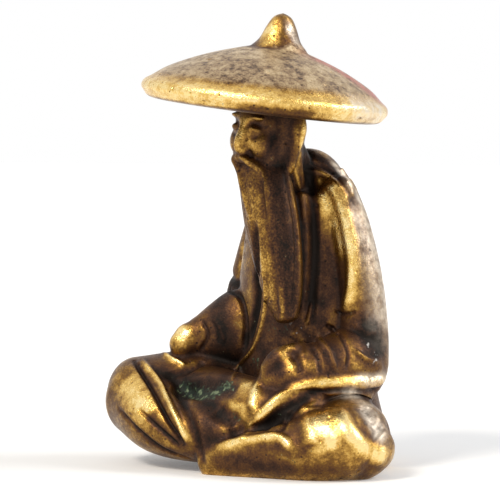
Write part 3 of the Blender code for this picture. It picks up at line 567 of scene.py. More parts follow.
# The casting is all of these forms run together in one pour. Its hems, folds and strands are
# worked into the skin, its underside is ground flat, and small pits are left by the sand.
SKIN_STEP = 0.14 * MM
FACE_BUDGET = 192000
ROBE_SOFTENING = 36
CASTING_SOFTENING = 6
RAY_STEP = 0.12
STRANDS = 5.5
STRAND_DEPTH = 0.022 * MM
PIT_COUNT = 150
PIT_WIDTHS = (0.14 * MM, 0.34 * MM)
PIT_DEPTH_SHARE = 0.55
QUARTER_FOLDS = [
    # Hem of the robe across the left leg, its undercut, and the hollow under its lower half.
    (0.45, 0.95, [(8.9, 10.4), (7.2, 9.8), (3.5, 10.2), (0.2, 9.9), (-3.3, 8.2), (-7.0, 4.0)]),
    (-0.2, 0.4, [(8.4, 9.3), (7.2, 9.1), (3.5, 9.5), (0.2, 9.1)]),
    (-0.55, 0.9, [(0.6, 8.7), (-2.2, 7.4), (-4.5, 5.2)]),
    # Fold in the middle of the lap.
    (0.32, 0.9, [(-5.2, 6.8), (-5.7, 8.0), (-4.8, 10.5)]),
    # Upper edge of the crossed foot and the hollow above it.
    (0.4, 0.8, [(-9.8, 3.2), (-5.5, 4.3), (-2.9, 4.6), (-1.4, 3.4)]),
    (-0.4, 0.8, [(-8.6, 4.4), (-6.2, 5.0), (-3.4, 5.9), (-1.2, 6.9)]),
    # Trouser fold beside the hem.
    (-0.3, 0.5, [(-2.7, 5.2), (-1.9, 6.6), (-0.7, 7.8)]),
    # Left knee: its rounded front, the fold that falls from it, the cloth up to the hem, and the
    # hollow behind.
    (0.4, 1.6, [(0.3, 7.8), (0.4, 6.0), (0.7, 4.0)]),
    (0.35, 1.5, [(2.9, 8.0), (4.4, 5.6), (6.8, 3.2), (8.6, 2.4)]),
    (0.35, 1.5, [(1.7, 7.8), (2.3, 5.8), (3.2, 4.2)]),
    (0.6, 1.1, [(0.8, 9.0), (3.4, 9.3), (5.6, 9.0), (7.2, 8.0)]),
    (-0.65, 1.9, [(6.2, 7.9), (7.3, 6.1), (8.1, 4.9)]),
    # Hem and roll of the right trouser leg, with two folds below them.
    (-0.5, 0.4, [(-19.0, 11.4), (-16.7, 8.6), (-14.7, 5.3), (-13.2, 3.2)]),
    (0.4, 0.55, [(-18.2, 11.6), (-15.9, 9.2), (-14.2, 6.4), (-12.8, 3.6)]),
    (-0.32, 0.4, [(-18.2, 6.6), (-16.2, 5.0), (-13.6, 2.9)]),
    (-0.32, 0.4, [(-20.6, 6.4), (-18.2, 4.3), (-15.4, 2.4), (-12.4, 1.4)]),
    # Front edge of the robe, which the right sleeve comes out of, and the groove behind it.
    (0.3, 0.4, [(-4.7, 23.6), (-4.3, 18.6), (-5.4, 13.6), (-8.1, 10.0)]),
    (-0.55, 0.65, [(-5.6, 27.1), (-5.3, 23.5), (-5.15, 18.5), (-6.1, 13.6)]),
    # Crease where the right sleeve leaves the arm, its cuff, and two wrinkles at the cuff.
    (-0.4, 0.5, [(-8.6, 19.4), (-7.1, 18.7), (-6.45, 16.3), (-6.6, 13.0)]),
    (-0.26, 0.4, [(-11.3, 16.0), (-10.7, 14.4), (-11.5, 12.6)]),
    (0.14, 0.25, [(-10.3, 16.5), (-9.3, 15.2), (-8.8, 13.8)]),
    (-0.12, 0.25, [(-10.0, 16.0), (-9.6, 14.7), (-9.5, 13.6)]),
    (-0.3, 0.8, [(-11.0, 11.5), (-12.8, 10.6), (-15.4, 9.8)]),
    (0.3, 0.5, [(-15.9, 12.3), (-14.6, 11.7), (-13.2, 11.1)]),
    # Front of the left sleeve, the hollow before it, the crease at its elbow, its shoulder fold
    # with the groove beside the collar, and the shoulder filled out behind.
    (0.35, 1.1, [(1.1, 32.4), (3.6, 30.3), (5.0, 24.7), (5.0, 20.6), (4.2, 17.4)]),
    (-0.25, 1.4, [(1.4, 28.6), (1.9, 25.0), (2.2, 20.7), (2.0, 17.4)]),
    (-0.22, 0.3, [(3.3, 17.5), (4.3, 17.1), (5.5, 17.5)]),
    (0.32, 0.45, [(0.3, 32.8), (2.2, 32.3), (3.8, 30.8), (4.7, 29.0)]),
    (-0.3, 0.4, [(0.9, 33.6), (2.2, 33.1), (3.4, 32.3)]),
    (0.35, 0.9, [(3.9, 33.0), (4.7, 31.8), (5.6, 30.2)]),
    (0.45, 0.8, [(3.7, 32.0), (4.4, 31.2), (5.2, 29.6)]),
    # Creases of the left sleeve over the lap.
    (-0.3, 0.4, [(2.3, 16.0), (3.8, 14.9), (4.6, 13.2), (4.4, 11.6)]),
    (0.3, 0.5, [(1.3, 14.9), (2.5, 13.4), (3.1, 11.6)]),
    (0.3, 0.4, [(0.75, 18.6), (0.5, 17.2), (0.2, 15.9)]),
    (-0.25, 0.5, [(0.6, 13.9), (1.3, 12.6), (1.5, 11.2)]),
    (0.25, 0.5, [(5.3, 13.4), (6.7, 12.4), (7.9, 12.1)]),
    (0.3, 0.9, [(-1.4, 15.4), (-0.4, 14.2), (-0.2, 12.6)]),
    (-0.3, 0.7, [(-2.0, 13.6), (-1.0, 12.4), (-0.6, 11.2)]),
    (0.22, 0.7, [(5.4, 16.0), (6.8, 15.2), (7.8, 15.4)]),
    # Partings of the beard, its two lit strands, and the groove behind it.
    (-0.18, 0.5, [(-4.9, 33.4), (-4.6, 29.5), (-3.7, 24.4), (-3.1, 18.5)]),
    (-0.25, 0.5, [(-2.3, 33.0), (-1.2, 27.9), (-0.95, 22.9), (-1.4, 17.4)]),
    (0.18, 0.45, [(-1.2, 33.4), (-0.4, 30.2), (0.0, 27.2)]),
    (-0.6, 0.95, [(0.1, 34.6), (0.9, 29.5), (1.0, 22.9), (0.5, 16.3)]),
    (0.22, 0.45, [(-2.8, 20.3), (-2.6, 18.8), (-2.3, 17.2)]),
    # Edge of the apron beside the right leg, the lap's flattened front, and its sag.
    (-0.35, 0.8, [(-14.2, 9.1), (-12.4, 6.0), (-11.0, 0.9)]),
    (-0.35, 1.3, [(-9.8, 6.8), (-8.7, 6.1), (-7.4, 5.7)]),
    (-0.6, 2.0, [(-13.8, 8.0), (-10.9, 9.1), (-7.3, 9.3)]),
]
BACK_FOLDS = [
    # Long soft folds of the robe between the shoulders and the seat.
    (-0.25, 1.5, [(-3.4, 27.0), (-4.2, 17.0), (-4.8, 6.0)]),
    (-0.25, 1.5, [(3.2, 27.0), (4.0, 17.0), (4.9, 6.0)]),
    (0.2, 1.4, [(0.2, 22.0), (0, 13.0), (0.3, 5.0)]),
]
RIGHT_FOLDS = [
    # Folds at the right elbow and under the right thigh.
    (-0.3, 0.9, [(-3.0, 21.5), (0.2, 19.6), (2.4, 20.2)]),
    (-0.35, 1.1, [(-4.6, 6.4), (-0.5, 5.6), (3.5, 7.2)]),
]
LEFT_FOLDS = [
    # Hollow in the side of the left knee, a fold behind it, and a long one down the sleeve.
    (-0.4, 2.0, [(-15.4, 6.6), (-13.6, 5.2), (-11.6, 4.8)]),
    (-0.3, 0.8, [(-7.5, 8.6), (-4.8, 6.4), (-2.6, 3.4)]),
    (-0.25, 1.2, [(-3.5, 26.5), (-4.6, 20.5), (-4.4, 14.0)]),
]
FOLD_VIEWS = [(36, QUARTER_FOLDS), (126, LEFT_FOLDS), (180, BACK_FOLDS), (-70, RIGHT_FOLDS)]


def traced(surface, turn, path):
    """Points where level rays from `turn` degrees left of the front, through a path drawn in
    millimetres across and up, meet the surface."""
    turn = math.radians(turn)
    right = np.array([math.cos(turn), math.sin(turn), 0.0])
    towards = np.array([math.sin(turn), -math.cos(turn), 0.0])
    length = np.linalg.norm(np.diff(np.array(path, float), axis=0), axis=1).sum()
    places = []
    for across, up in smooth_path(path, int(length / RAY_STEP) + 4) * MM:
        start = across * right + up * UP + 2 * KNEE_REACH * towards
        place = surface.ray_cast(Vector(start), Vector(-towards))[0]
        if place is not None:
            places.append(place)
    return np.array(places)


robe = fused(joined(robe_forms + leg_forms, "robe"), SKIN_STEP, ROBE_SOFTENING)
all_forms = [as_form(robe), as_form(head)] + beard_forms + hat_forms
casting = fused(joined(all_forms, "figurine"), SKIN_STEP, CASTING_SOFTENING)
surface = BVHTree.FromObject(casting, bpy.context.evaluated_depsgraph_get())
pressed(casting, [
    (amount, width, traced(surface, turn, path))
    for turn, folds in FOLD_VIEWS
    for amount, width, path in folds
])

points = rows_of(casting.data.vertices, "co")
normals = rows_of(casting.data.vertex_normals, "vector")


def lock_share(points):
    """How surely points lie on the beard's front, with their places down it and across it."""
    down = (CHIN[2] - points[:, 2]) / BEARD_LENGTH
    axis_x, axis_y, _, half_width, _ = (np.interp(down, beard_downs, column) for column in beard_stations.T)
    across = (points[:, 0] - axis_x) / half_width
    share = np.clip((1.08 - np.abs(across)) / 0.12, 0, 1) * np.clip((down + 0.06) / 0.08, 0, 1)
    before = np.clip((axis_y + 0.4 * MM - points[:, 1]) / (0.6 * MM), 0, 1)
    share *= np.clip((1.1 - down) / 0.12, 0, 1) * before
    return share, down, across


# The beard's strands are fine waves across it, which wander a little on their way down.
on_lock, down, across = lock_share(points)
wander = 0.5 * np.sin(5 * down) + 0.25 * np.sin(13 * down + 2)
strand = np.abs(np.sin(math.pi * (STRANDS * across + wander)))
points += (on_lock * STRAND_DEPTH * (2 * strand - 1.3))[:, None] * normals

# Casting pits of mixed sizes are scattered over the skin, and the underside is ground flat.
chance = np.random.default_rng(7)
pit_places = points[chance.integers(0, len(points), PIT_COUNT)]
pit_widths = chance.uniform(*PIT_WIDTHS, PIT_COUNT)
for place, width in zip(pit_places, pit_widths):
    near = np.flatnonzero((np.abs(points - place) < width).all(1))
    gap = np.linalg.norm(points[near] - place, axis=1) / width
    points[near] -= (PIT_DEPTH_SHARE * width * np.clip(1 - gap**2, 0, 1) ** 2)[:, None] * normals[near]
points[:, 2] = np.maximum(points[:, 2], 0)
casting.data.vertices.foreach_set("co", points.ravel())
casting.data.update()
thin = casting.modifiers.new("thin", "DECIMATE")
thin.ratio = min(1.0, FACE_BUDGET / (2 * len(casting.data.polygons)))
baked(casting)
casting.data.shade_smooth()
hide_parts("fisherman")
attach(casting, "root")

# The wear is told by the shape: hollows hold a dark crust, and the high places that hands
# touch are rubbed back to bright metal. Painted highlights, painted shade, a painted sheen and
# painted glints are laid over this. Each mask is kept on the casting's points.
WEAR_SCALE = 0.16 * MM
FINE_ROUNDS = 10
BROAD_ROUNDS = 70
BLEND_ROUNDS = 5
BEARD_EVENNESS = 0.45
RIM_WEAR = 0.85


def edge_pairs(mesh):
    """The two point numbers of every edge."""
    pairs = np.empty(2 * len(mesh.edges), np.int32)
    mesh.edges.foreach_get("vertices", pairs)
    return pairs.reshape(-1, 2)


def relaxed(values, pairs, rounds):
    """Values moved half way to the mean of their neighbours along the edges, many times over."""
    count = len(values)
    degree = np.bincount(pairs.ravel(), minlength=count)[:, None]
    for _ in range(rounds):
        total = np.empty_like(values)
        for k in range(values.shape[1]):
            column = values[:, k]
            total[:, k] = np.bincount(pairs[:, 0], column[pairs[:, 1]], count)
            total[:, k] += np.bincount(pairs[:, 1], column[pairs[:, 0]], count)
        values = 0.5 * values + 0.5 * total / degree
    return values


points = rows_of(casting.data.vertices, "co")
normals = rows_of(casting.data.vertex_normals, "vector")
pairs = edge_pairs(casting.data)
near_mean = relaxed(points, pairs, FINE_ROUNDS)
fine = ((points - near_mean) * normals).sum(1)
broad = ((points - relaxed(near_mean, pairs, BROAD_ROUNDS)) * normals).sum(1)
raised = np.tanh(fine / (0.35 * WEAR_SCALE)) * 0.5 + np.tanh(broad / (1.6 * WEAR_SCALE)) * 0.5
raised = relaxed(raised[:, None], pairs, BLEND_ROUNDS)[:, 0]
surface = BVHTree.FromObject(casting, bpy.context.evaluated_depsgraph_get())


def painted(strokes):
    """The largest share of any stroke at each point, with strokes drawn as folds are: strength,
    half width and path, seen from the angle of the view they are listed under."""
    mask = np.zeros(len(points))
    for turn, lines in strokes:
        for strength, width, path in lines:
            near, share = near_line(points, traced(surface, turn, path), width * MM)
            mask[near] = np.maximum(mask[near], strength * share)
    return mask


def keep(name, values):
    """A float mask on the casting's points."""
    attribute = casting.data.attributes.new(name, "FLOAT", "POINT")
    attribute.data.foreach_set("value", values.astype(np.float32))


# Shares of each point on the hat's dull top, clear of its rim and finial, and on its bright rim.
from_seat = points - HAT_SEAT
height = from_seat @ HEAD_UP
reach = np.linalg.norm(from_seat - height[:, None] * HEAD_UP, axis=1) / HAT_RADIUS
upward = normals @ HEAD_UP
hat_top = np.clip((height + 0.6 * MM) / (0.5 * MM), 0, 1) * np.clip((upward - 0.25) / 0.35, 0, 1)
hat_top *= np.clip((0.955 - reach) / 0.12, 0, 1) * (points[:, 2] > HAT_SEAT[2] - 2.5 * MM)
hat_top *= np.clip((reach - 0.2) / 0.06, 0, 1)
rim = np.clip((reach - 0.84) / 0.09, 0, 1) * (height > -RIM_THICKNESS)
rim *= np.clip((upward + 0.92) / 0.25, 0, 1)

# Rubbed bright metal, with painted highlights on the high places that face the light.
WEAR_AND_HIGHLIGHTS = [(36, [
    # Right knee and its hem, the left knee, the foot's edge and the left leg's rounded front, with a painted
    # highlight down the left knee and the leg's front.
    (0.95, 2.6, [(-20.2, 9.6), (-18.6, 7.8), (-16.8, 5.8)]),
    (0.8, 0.8, [(-18.0, 11.4), (-15.7, 9.0), (-14.0, 6.2), (-12.6, 3.4)]),
    (1.15, 1.8, [(2.9, 8.4), (4.4, 5.6), (6.8, 3.2), (8.8, 2.4)]),
    (1.1, 1.2, [(-9.8, 2.8), (-6.0, 4.0), (-3.4, 4.6), (-1.6, 3.8)]),
    (1.3, 2.8, [(1.0, 7.4), (1.5, 6.0), (2.2, 4.6), (2.8, 3.4)]),
    # Fist, the cloth below it, and the front of the upper arm.
    (1.0, 1.8, [(-14.2, 14.9), (-12.9, 14.1)]),
    (1.0, 0.9, [(-16.0, 12.3), (-14.6, 11.7), (-13.2, 11.1)]),
    (0.85, 1.0, [(-6.6, 25.0), (-6.9, 22.6), (-7.3, 20.2)]),
    # Beard strands, ear and the robe's front hem.
    (0.5, 2.1, [(-6.6, 33.3), (-5.6, 27.3), (-4.5, 22.0), (-4.0, 18.0)]),
    (0.8, 0.6, [(-2.7, 20.5), (-2.5, 16.8)]),
    (0.7, 0.5, [(0.0, 38.3), (-0.4, 35.5), (-0.85, 32.6)]),
    (0.25, 0.5, [(-1.2, 33.4), (-0.4, 30.2), (0.0, 27.3)]),
    (0.35, 0.4, [(-4.7, 23.6), (-4.3, 18.6), (-5.4, 13.6), (-8.1, 10.0)]),
    # Brow, nose and cheek, partly a painted highlight.
    (0.8, 1.8, [(-6.8, 38.8), (-6.8, 36.4), (-6.0, 35.0)]),
    # Shoulder, the long front edge of the left sleeve with a painted highlight along it, and its lower folds.
    (0.9, 2.0, [(0.8, 31.3), (2.4, 30.9), (3.9, 28.6)]),
    (0.9, 1.8, [(3.7, 29.6), (4.6, 26.0), (5.1, 21.5), (4.8, 17.4)]),
    (1.3, 2.6, [(1.8, 32.0), (2.5, 29.0), (3.4, 26.4), (4.4, 22.8)]),
    (1.0, 1.1, [(-1.6, 14.6), (-2.0, 12.8), (-1.6, 11.4)]),
    # Hem over the left leg and the fold in the lap.
    (0.8, 1.1, [(8.9, 10.4), (3.5, 10.2), (0.2, 9.9), (-3.3, 8.2), (-7.0, 4.0)]),
    (1.2, 1.8, [(-6.6, 10.0), (-5.6, 8.7), (-5.8, 7.4)]),
    # Finial.
    (1.15, 2.2, [(-4.4, 48.6), (-3.9, 46.2)]),
]), (180, [
    # Middle of the back, and the seat.
    (0.5, 3.5, [(0.0, 27.0), (0.2, 18.0), (0.0, 10.0)]),
    (0.4, 1.6, [(-8.0, 2.2), (0.0, 1.8), (8.0, 2.2)]),
]), (-70, [
    # Right knee and upper arm.
    (0.9, 3.0, [(12.5, 8.0), (13.5, 5.0)]),
    (0.6, 2.0, [(0.5, 27.0), (0.0, 21.5)]),
]), (126, [
    # Foot of the left side.
    (0.8, 2.0, [(-11.0, 2.2), (-4.0, 2.0)]),
])]
# Dark crust, partly painted shade where parts hide each other from the light.
DARKENED = [(36, [
    # Painted shade at the temple under the hat and in the groove beside the beard, and a darker middle of the
    # beard.
    (0.75, 1.9, [(-3.0, 38.4), (-3.0, 34.0), (-2.4, 28.0), (-1.9, 21.0), (-1.8, 16.5)]),
    (1.0, 1.3, [(0.5, 34.8), (1.1, 29.5), (1.3, 22.9), (1.0, 16.3)]),
    (0.8, 0.9, [(-0.3, 31.4), (-0.1, 26.5), (-0.1, 22.0), (-0.4, 17.0)]),
    # Painted shade in the hollow of the left sleeve and on the lap under the beard; the collar and the left
    # elbow darker.
    (0.9, 1.5, [(0.9, 28.0), (1.2, 23.8), (1.5, 18.0), (1.3, 15.6)]),
    (0.35, 1.5, [(2.2, 26.2), (2.8, 23.4), (2.9, 20.5), (2.2, 17.8)]),
    (1.0, 1.0, [(-0.2, 35.0), (1.9, 34.0), (3.3, 32.7), (4.1, 31.7)]),
    (0.35, 2.8, [(-3.4, 15.5), (-0.4, 14.0), (2.6, 13.6), (4.6, 12.8)]),
    (0.75, 1.6, [(-4.6, 13.8), (-3.2, 11.9), (-2.2, 10.8)]),
    (1.0, 2.5, [(6.0, 16.4), (6.8, 15.2), (7.6, 13.8), (8.2, 12.2)]),
    # Darker right forearm and apron; painted shade in the groove behind the forearm, the sag of the lap and
    # the hollow above the foot.
    (1.0, 2.8, [(-7.2, 21.5), (-9.0, 18.4), (-9.2, 16.4), (-8.8, 14.0), (-9.2, 10.6)]),
    (1.0, 0.9, [(-5.6, 27.1), (-5.3, 22.5), (-5.3, 18.0), (-6.4, 13.0)]),
    (1.0, 2.2, [(-13.6, 9.8), (-11.0, 9.5), (-8.2, 10.2)]),
    (0.85, 2.6, [(-10.8, 8.0), (-10.6, 5.2), (-10.6, 3.4)]),
    (0.95, 1.3, [(-0.8, 8.0), (-3.0, 6.6), (-5.6, 5.0)]),
    # Painted shade under the hem, behind the roll of the right trouser leg, and on the front of the lap.
    (0.8, 0.9, [(-1.0, 7.8), (0.4, 8.9), (2.6, 9.4), (5.6, 9.4)]),
    (0.8, 1.1, [(-16.2, 11.0), (-14.2, 9.2), (-12.8, 6.6)]),
    (0.9, 1.8, [(-9.3, 7.2), (-8.4, 6.0), (-7.6, 5.2)]),
    # Painted shade in a band along the ground and in the grooves of the right trouser leg.
    (0.6, 1.6, [(-9.6, 1.7), (-5.0, 1.6), (-1.0, 1.3)]),
    (0.3, 1.3, [(-1.0, 1.3), (5.0, 1.1)]),
    (0.5, 0.5, [(-19.0, 11.4), (-16.7, 8.6), (-14.7, 5.3), (-13.2, 3.2)]),
    (0.75, 0.9, [(-17.4, 6.4), (-15.6, 4.8), (-13.4, 3.1)]),
    (0.6, 0.8, [(-19.0, 5.2), (-16.6, 3.2), (-13.8, 2.0)]),
    # Painted shade under the hat.
    (1.0, 1.2, [(-8.0, 39.6), (-3.0, 39.0), (1.0, 38.7)]),
]), (180, [
    # Painted shade under the collar behind, and in the two long folds below it.
    (0.7, 1.2, [(-4.0, 33.5), (0.0, 34.4), (4.0, 33.5)]),
    (0.6, 1.2, [(-4.2, 24.0), (-4.8, 8.0)]),
    (0.6, 1.2, [(4.0, 24.0), (4.9, 8.0)]),
])]
SHEEN = [(36, [
    # Painted sheen, the pale reflection of a white surround: the hem's end, the shoulder, the brim, the left
    # knee's side, the finial.
    (0.9, 1.0, [(5.6, 10.4), (7.4, 10.2), (8.9, 10.4)]),
    (0.9, 0.8, [(2.9, 33.9), (4.2, 32.5), (5.6, 30.3), (6.7, 28.0), (7.3, 25.4)]),
    (1.0, 2.6, [(4.6, 40.0), (8.6, 39.0)]),
    (0.9, 1.6, [(6.2, 7.6), (7.4, 5.7), (8.4, 4.2)]),
    (0.95, 1.7, [(3.6, 8.7), (5.4, 8.4), (7.0, 7.4)]),
    (0.8, 0.9, [(-1.9, 48.8), (-0.7, 46.4)]),
]), (100, [
    # Painted sheen on the outer side of the left sleeve.
    (0.8, 3.6, [(-1.4, 29.6), (-1.7, 25.0), (-2.0, 20.0), (-2.2, 15.0)]),
])]
GREEN = [(36, [
    # Verdigris in the sag of the lap, with traces beside the hand and below the lap.
    (0.9, 1.5, [(-13.9, 9.2), (-12.0, 8.2), (-9.8, 8.5), (-7.6, 9.8)]),
    (0.6, 0.7, [(-7.6, 10.6), (-5.4, 11.6), (-4.4, 12.6)]),
    (0.5, 0.8, [(-4.0, 16.0), (-1.4, 15.2)]),
    (0.5, 0.7, [(-8.0, 7.0), (-6.9, 5.8)]),
])]
PAINTED_GLINTS = [(36, [
    # Painted glints: pale specks at the left elbow and among the folds of the sleeve.
    (1.0, 2.2, [(6.2, 14.8), (7.2, 13.2), (8.2, 11.8)]),
    (0.7, 2.4, [(-1.0, 19.0), (-0.6, 15.0), (1.6, 13.8)]),
])]
RED = [(36, [
    # Red colouring down the left slope of the hat.
    (1.1, 2.6, [(0.5, 45.2), (2.8, 44.2), (5.0, 42.8), (7.2, 41.2), (8.4, 40.3)]),
])]
on_lock = lock_share(points)[0]
keep("raised", raised * (1 - BEARD_EVENNESS * on_lock))
keep("beard", on_lock)
keep("hat_top", hat_top)
# Masks of rubbed metal with painted highlights, dark crust with painted shade, and painted sheen and glints.
keep("wear_and_highlight", np.maximum(painted(WEAR_AND_HIGHLIGHTS), RIM_WEAR * rim))
keep("darkened", painted(DARKENED))
keep("sheen", painted(SHEEN))
keep("green", painted(GREEN))
keep("red", painted(RED))
keep("glints", painted(PAINTED_GLINTS))

# Brass with its patina: a dark crust in the hollows, brown over most of the skin, and metal where
# it is rubbed, with painted highlights and painted shade in the same tone. Two sizes of mottling
# break every edge of it, and the sand has left its grain.
CLOUD_SIZE = 3.2 * MM
BLOTCH_SIZE = 0.9 * MM
SPECK_SIZE = 0.22 * MM
GRAIN_SIZE = 0.16 * MM
GRAIN_DEPTH = 0.034 * MM
PINHOLE_SPACING = 1.1 * MM
PINHOLE_DEPTH = 0.06 * MM
PINHOLE_SHARE = 0.13
FLECK_SIZE = 0.55 * MM
CLOUD_TONE = 0.16
BLOTCH_TONE = 0.22
SPECK_TONE = 0.2
BEARD_SPECK_TONE = 0.14
PINHOLE_TONE = -0.3
BUMP_STRENGTH = 0.6
ROUGHNESS = (0.56, 0.19)
HAT_TOP_METAL = 0.65
CRUST_METAL = 0.15
TONE_BASE = 0.385
# The rubbed mask adds painted highlights to the tone, and the darkened mask painted shade.
TONE_PARTS = {"raised": 0.36, "wear_and_highlight": 0.4, "darkened": -0.4}
TONE_COLOURS = [
    (0.0, (0.010, 0.006, 0.004)),
    (0.26, (0.046, 0.019, 0.010)),
    (0.42, (0.110, 0.048, 0.018)),
    (0.56, (0.18, 0.090, 0.024)),
    (0.72, (0.44, 0.245, 0.055)),
    (0.9, (0.80, 0.52, 0.15)),
    (1.0, (0.94, 0.72, 0.32)),
]
HAT_TOP_COLOURS = [
    (0.26, (0.066, 0.038, 0.025)),
    (0.45, (0.27, 0.175, 0.095)),
    (0.62, (0.45, 0.32, 0.175)),
    (0.86, (0.68, 0.53, 0.33)),
]
SHEEN_COLOUR = (0.84, 0.735, 0.60)
GREEN_COLOURS = [(0.45, (0.008, 0.015, 0.009)), (0.7, (0.030, 0.058, 0.030)), (1.0, (0.22, 0.28, 0.16))]
RED_COLOUR = (0.44, 0.070, 0.040)
GLINT_COLOUR = (0.52, 0.49, 0.45)

brass = bpy.data.materials.new("aged brass")
brass.use_nodes = True
nodes, links = brass.node_tree.nodes, brass.node_tree.links
shader = nodes["Principled BSDF"]


def feed(socket, value):
    """A socket linked to another node's output, or set to a plain value."""
    if isinstance(value, bpy.types.NodeSocket):
        links.new(value, socket)
    else:
        socket.default_value = value


def sums(operation, *values):
    """One arithmetic step on masks."""
    step = nodes.new("ShaderNodeMath")
    step.operation = operation
    for socket, value in zip(step.inputs, values):
        feed(socket, value)
    return step.outputs[0]


def mask_of(name):
    """One of the casting's painted masks."""
    reader = nodes.new("ShaderNodeAttribute")
    reader.attribute_name = name
    return reader.outputs["Fac"]


def spread(value, low, high, to_low=0.0, to_high=1.0):
    """A value's range from low to high stretched over another range, and held at its ends."""
    step = nodes.new("ShaderNodeMapRange")
    feed(step.inputs["Value"], value)
    for socket, number in zip(("From Min", "From Max", "To Min", "To Max"), (low, high, to_low, to_high)):
        feed(step.inputs[socket], number)
    return step.outputs["Result"]


def mottle(size, detail=3.0):
    """Noise of this feature size, stretched over 0 to 1."""
    noise = nodes.new("ShaderNodeTexNoise")
    links.new(place.outputs["Object"], noise.inputs["Vector"])
    noise.inputs["Scale"].default_value = 1 / size
    noise.inputs["Detail"].default_value = detail
    noise.inputs["Roughness"].default_value = 0.6
    return spread(noise.outputs["Fac"], 0.3, 0.7)


def coloured(value, stops):
    """A colour for each value, from stops of place and colour."""
    ramp = nodes.new("ShaderNodeValToRGB")
    while len(ramp.color_ramp.elements) < len(stops):
        ramp.color_ramp.elements.new(0.5)
    for element, (position, colour) in zip(ramp.color_ramp.elements, stops):
        element.position, element.color = position, (*colour, 1)
    links.new(value, ramp.inputs["Fac"])
    return ramp.outputs["Color"]


def over(mask, below, above):
    """The colour above laid over the colour below by a mask."""
    mix = nodes.new("ShaderNodeMix")
    mix.data_type = "RGBA"
    feed(mix.inputs["Factor"], mask)
    feed(mix.inputs["A"], below)
    feed(mix.inputs["B"], above if isinstance(above, bpy.types.NodeSocket) else (*above, 1))
    return mix.outputs["Result"]


place = nodes.new("ShaderNodeTexCoord")
clouds, blotches = mottle(CLOUD_SIZE, 5.0), mottle(BLOTCH_SIZE, 4.0)
specks, grain = mottle(SPECK_SIZE), mottle(GRAIN_SIZE, 2.0)
tone = sums("ADD", TONE_BASE, sums("MULTIPLY", sums("SUBTRACT", blotches, 0.5), BLOTCH_TONE))
tone = sums("ADD", tone, sums("MULTIPLY", sums("SUBTRACT", clouds, 0.5), CLOUD_TONE))
grained = sums("MULTIPLY_ADD", mask_of("beard"), BEARD_SPECK_TONE, SPECK_TONE)
tone = sums("ADD", tone, sums("MULTIPLY", sums("SUBTRACT", specks, 0.5), grained))
for name, amount in TONE_PARTS.items():
    tone = sums("MULTIPLY_ADD", mask_of(name), amount, tone)


def dots(spacing, size):
    """Round dots at the middles of random cells, of this size as a share of their spacing."""
    cells = nodes.new("ShaderNodeTexVoronoi")
    links.new(place.outputs["Object"], cells.inputs["Vector"])
    cells.inputs["Scale"].default_value = 1 / spacing
    return spread(cells.outputs["Distance"], 0.5 * size, size, 1.0, 0.0)


pinholes = dots(PINHOLE_SPACING, PINHOLE_SHARE)
tone = sums("MULTIPLY_ADD", pinholes, PINHOLE_TONE, tone)

# The hat's top is dulled in patches. A painted sheen, a red patch, verdigris and painted glints
# are then laid over the rest, each broken up by the mottling.
metal_colour = coloured(tone, TONE_COLOURS)
on_top = spread(sums("MULTIPLY_ADD", sums("SUBTRACT", blotches, 0.5), 0.5, mask_of("hat_top")), 0.25, 0.85)
on_top = sums("MULTIPLY", on_top, spread(tone, 0.9, 0.64))
dulled = sums("MULTIPLY_ADD", blotches, 0.5, sums("MULTIPLY", clouds, 0.3))
dulled = sums("MULTIPLY_ADD", specks, 0.3, dulled)
colour = over(on_top, metal_colour, coloured(dulled, HAT_TOP_COLOURS))
# Painted sheen: a pale colour standing in for the reflection of a white surround.
painted_sheen = sums("MULTIPLY", mask_of("sheen"), spread(blotches, 0.1, 0.8, 0.3, 0.95))
colour = over(painted_sheen, colour, SHEEN_COLOUR)
reddened = sums("MULTIPLY", mask_of("red"), spread(sums("ADD", specks, blotches), 0.45, 1.25, 0.1, 1.0))
colour = over(reddened, colour, RED_COLOUR)
grains = sums("MULTIPLY_ADD", specks, 0.6, sums("MULTIPLY", blotches, 0.5))
crusted = spread(sums("MULTIPLY_ADD", mask_of("green"), 0.7, grains), 0.88, 1.03, 0.0, 0.9)
flecks = mottle(FLECK_SIZE, 1.0)
colour = over(crusted, colour, coloured(flecks, GREEN_COLOURS))
# Painted glints: pale specks where light would catch.
glint_specks = spread(sums("MULTIPLY_ADD", mask_of("glints"), 0.25, flecks), 1.12, 1.24, 0.0, 0.8)
colour = over(glint_specks, colour, GLINT_COLOUR)
links.new(colour, shader.inputs["Base Color"])

metal = sums("MAXIMUM", spread(tone, 0.3, 0.6, 0.5, 1.0), painted_sheen)
dull = sums("ADD", crusted, glint_specks)
metal = sums("MULTIPLY", metal, spread(dull, 0.0, 1.0, 1.0, CRUST_METAL))
metal = sums("MULTIPLY", metal, spread(on_top, 0.0, 1.0, 1.0, HAT_TOP_METAL))
links.new(metal, shader.inputs["Metallic"])
roughness = spread(sums("MULTIPLY_ADD", grain, 0.35, tone), 0.2, 1.15, *ROUGHNESS)
links.new(roughness, shader.inputs["Roughness"])
shader.inputs["Specular IOR Level"].default_value = 0.25

skin_height = sums("MULTIPLY", grain, GRAIN_DEPTH)
skin_height = sums("MULTIPLY_ADD", specks, 0.4 * GRAIN_DEPTH, skin_height)
skin_height = sums("MULTIPLY_ADD", pinholes, -PINHOLE_DEPTH, skin_height)
bump = nodes.new("ShaderNodeBump")
bump.inputs["Distance"].default_value = 1.0
bump.inputs["Strength"].default_value = BUMP_STRENGTH
links.new(skin_height, bump.inputs["Height"])
links.new(bump.outputs["Normal"], shader.inputs["Normal"])
casting.data.materials.clear()
casting.data.materials.append(brass)

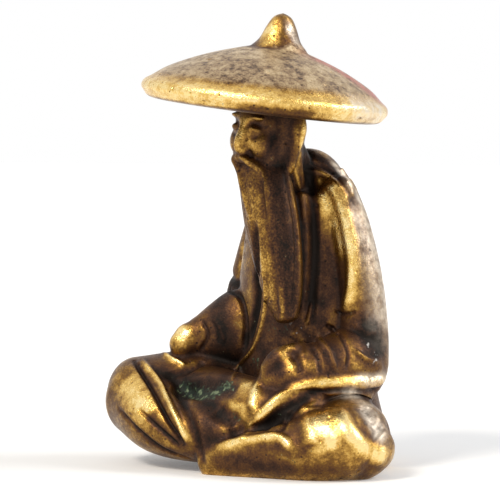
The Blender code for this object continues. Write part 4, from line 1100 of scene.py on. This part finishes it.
# The stage is a plain white floor under an even white dome, with a warm soft light from the
# front and a white one from the side. The floor keeps the casting's shadow.
FLOOR_HALF = 3.0
FLOOR_WHITE = (0.95, 0.95, 0.95, 1)
FLOOR_LIFT = 0.14
DOME_STRENGTH = 0.5
floor_mesh = bpy.data.meshes.new("floor")
floor_corners = [(x * FLOOR_HALF, y * FLOOR_HALF, 0) for x, y in ((-1, -1), (1, -1), (1, 1), (-1, 1))]
floor_mesh.from_pydata(floor_corners, [], [(0, 1, 2, 3)])
floor = bpy.data.objects.new("floor", floor_mesh)
bpy.context.scene.collection.objects.link(floor)
white = bpy.data.materials.new("white floor")
white.use_nodes = True
nodes, links = white.node_tree.nodes, white.node_tree.links
paint = nodes["Principled BSDF"]
paint.inputs["Base Color"].default_value = FLOOR_WHITE
paint.inputs["Roughness"].default_value = 0.9
paint.inputs["Emission Color"].default_value = (1, 1, 1, 1)
ray = nodes.new("ShaderNodeLightPath")
seen = sums("MAXIMUM", ray.outputs["Is Camera Ray"], ray.outputs["Is Glossy Ray"])
seen = sums("MAXIMUM", seen, ray.outputs["Is Transmission Ray"])
links.new(sums("MULTIPLY", seen, FLOOR_LIFT), paint.inputs["Emission Strength"])
floor_mesh.materials.append(white)

world = bpy.data.worlds.new("studio")
bpy.context.scene.world = world
world.use_nodes = True
nodes, links = world.node_tree.nodes, world.node_tree.links
sky = nodes["Background"]
sky.inputs["Color"].default_value = (1, 1, 1, 1)
ray = nodes.new("ShaderNodeLightPath")
seen = sums("MAXIMUM", ray.outputs["Is Camera Ray"], ray.outputs["Is Glossy Ray"])
seen = sums("MAXIMUM", seen, ray.outputs["Is Transmission Ray"])
links.new(sums("MULTIPLY_ADD", seen, 1 - DOME_STRENGTH, DOME_STRENGTH), sky.inputs["Strength"])


def soft_sun(name, turn, rise, spread_angle, strength, colour):
    """A broad sun from an angle left of the front and above the horizon."""
    light = bpy.data.lights.new(name, "SUN")
    light.angle = math.radians(spread_angle)
    light.energy = strength
    light.color = colour
    holder = bpy.data.objects.new(name, light)
    turn, rise = math.radians(turn), math.radians(rise)
    towards = Vector((math.sin(turn) * math.cos(rise), -math.cos(turn) * math.cos(rise), math.sin(rise)))
    holder.rotation_euler = towards.to_track_quat("Z", "Y").to_euler()
    bpy.context.scene.collection.objects.link(holder)


soft_sun("key", -5, 48, 16, 1.5, (1.0, 0.93, 0.82))
soft_sun("side", 118, 38, 22, 1.3, (0.96, 0.98, 1.0))
bpy.context.scene.view_settings.view_transform = "Standard"
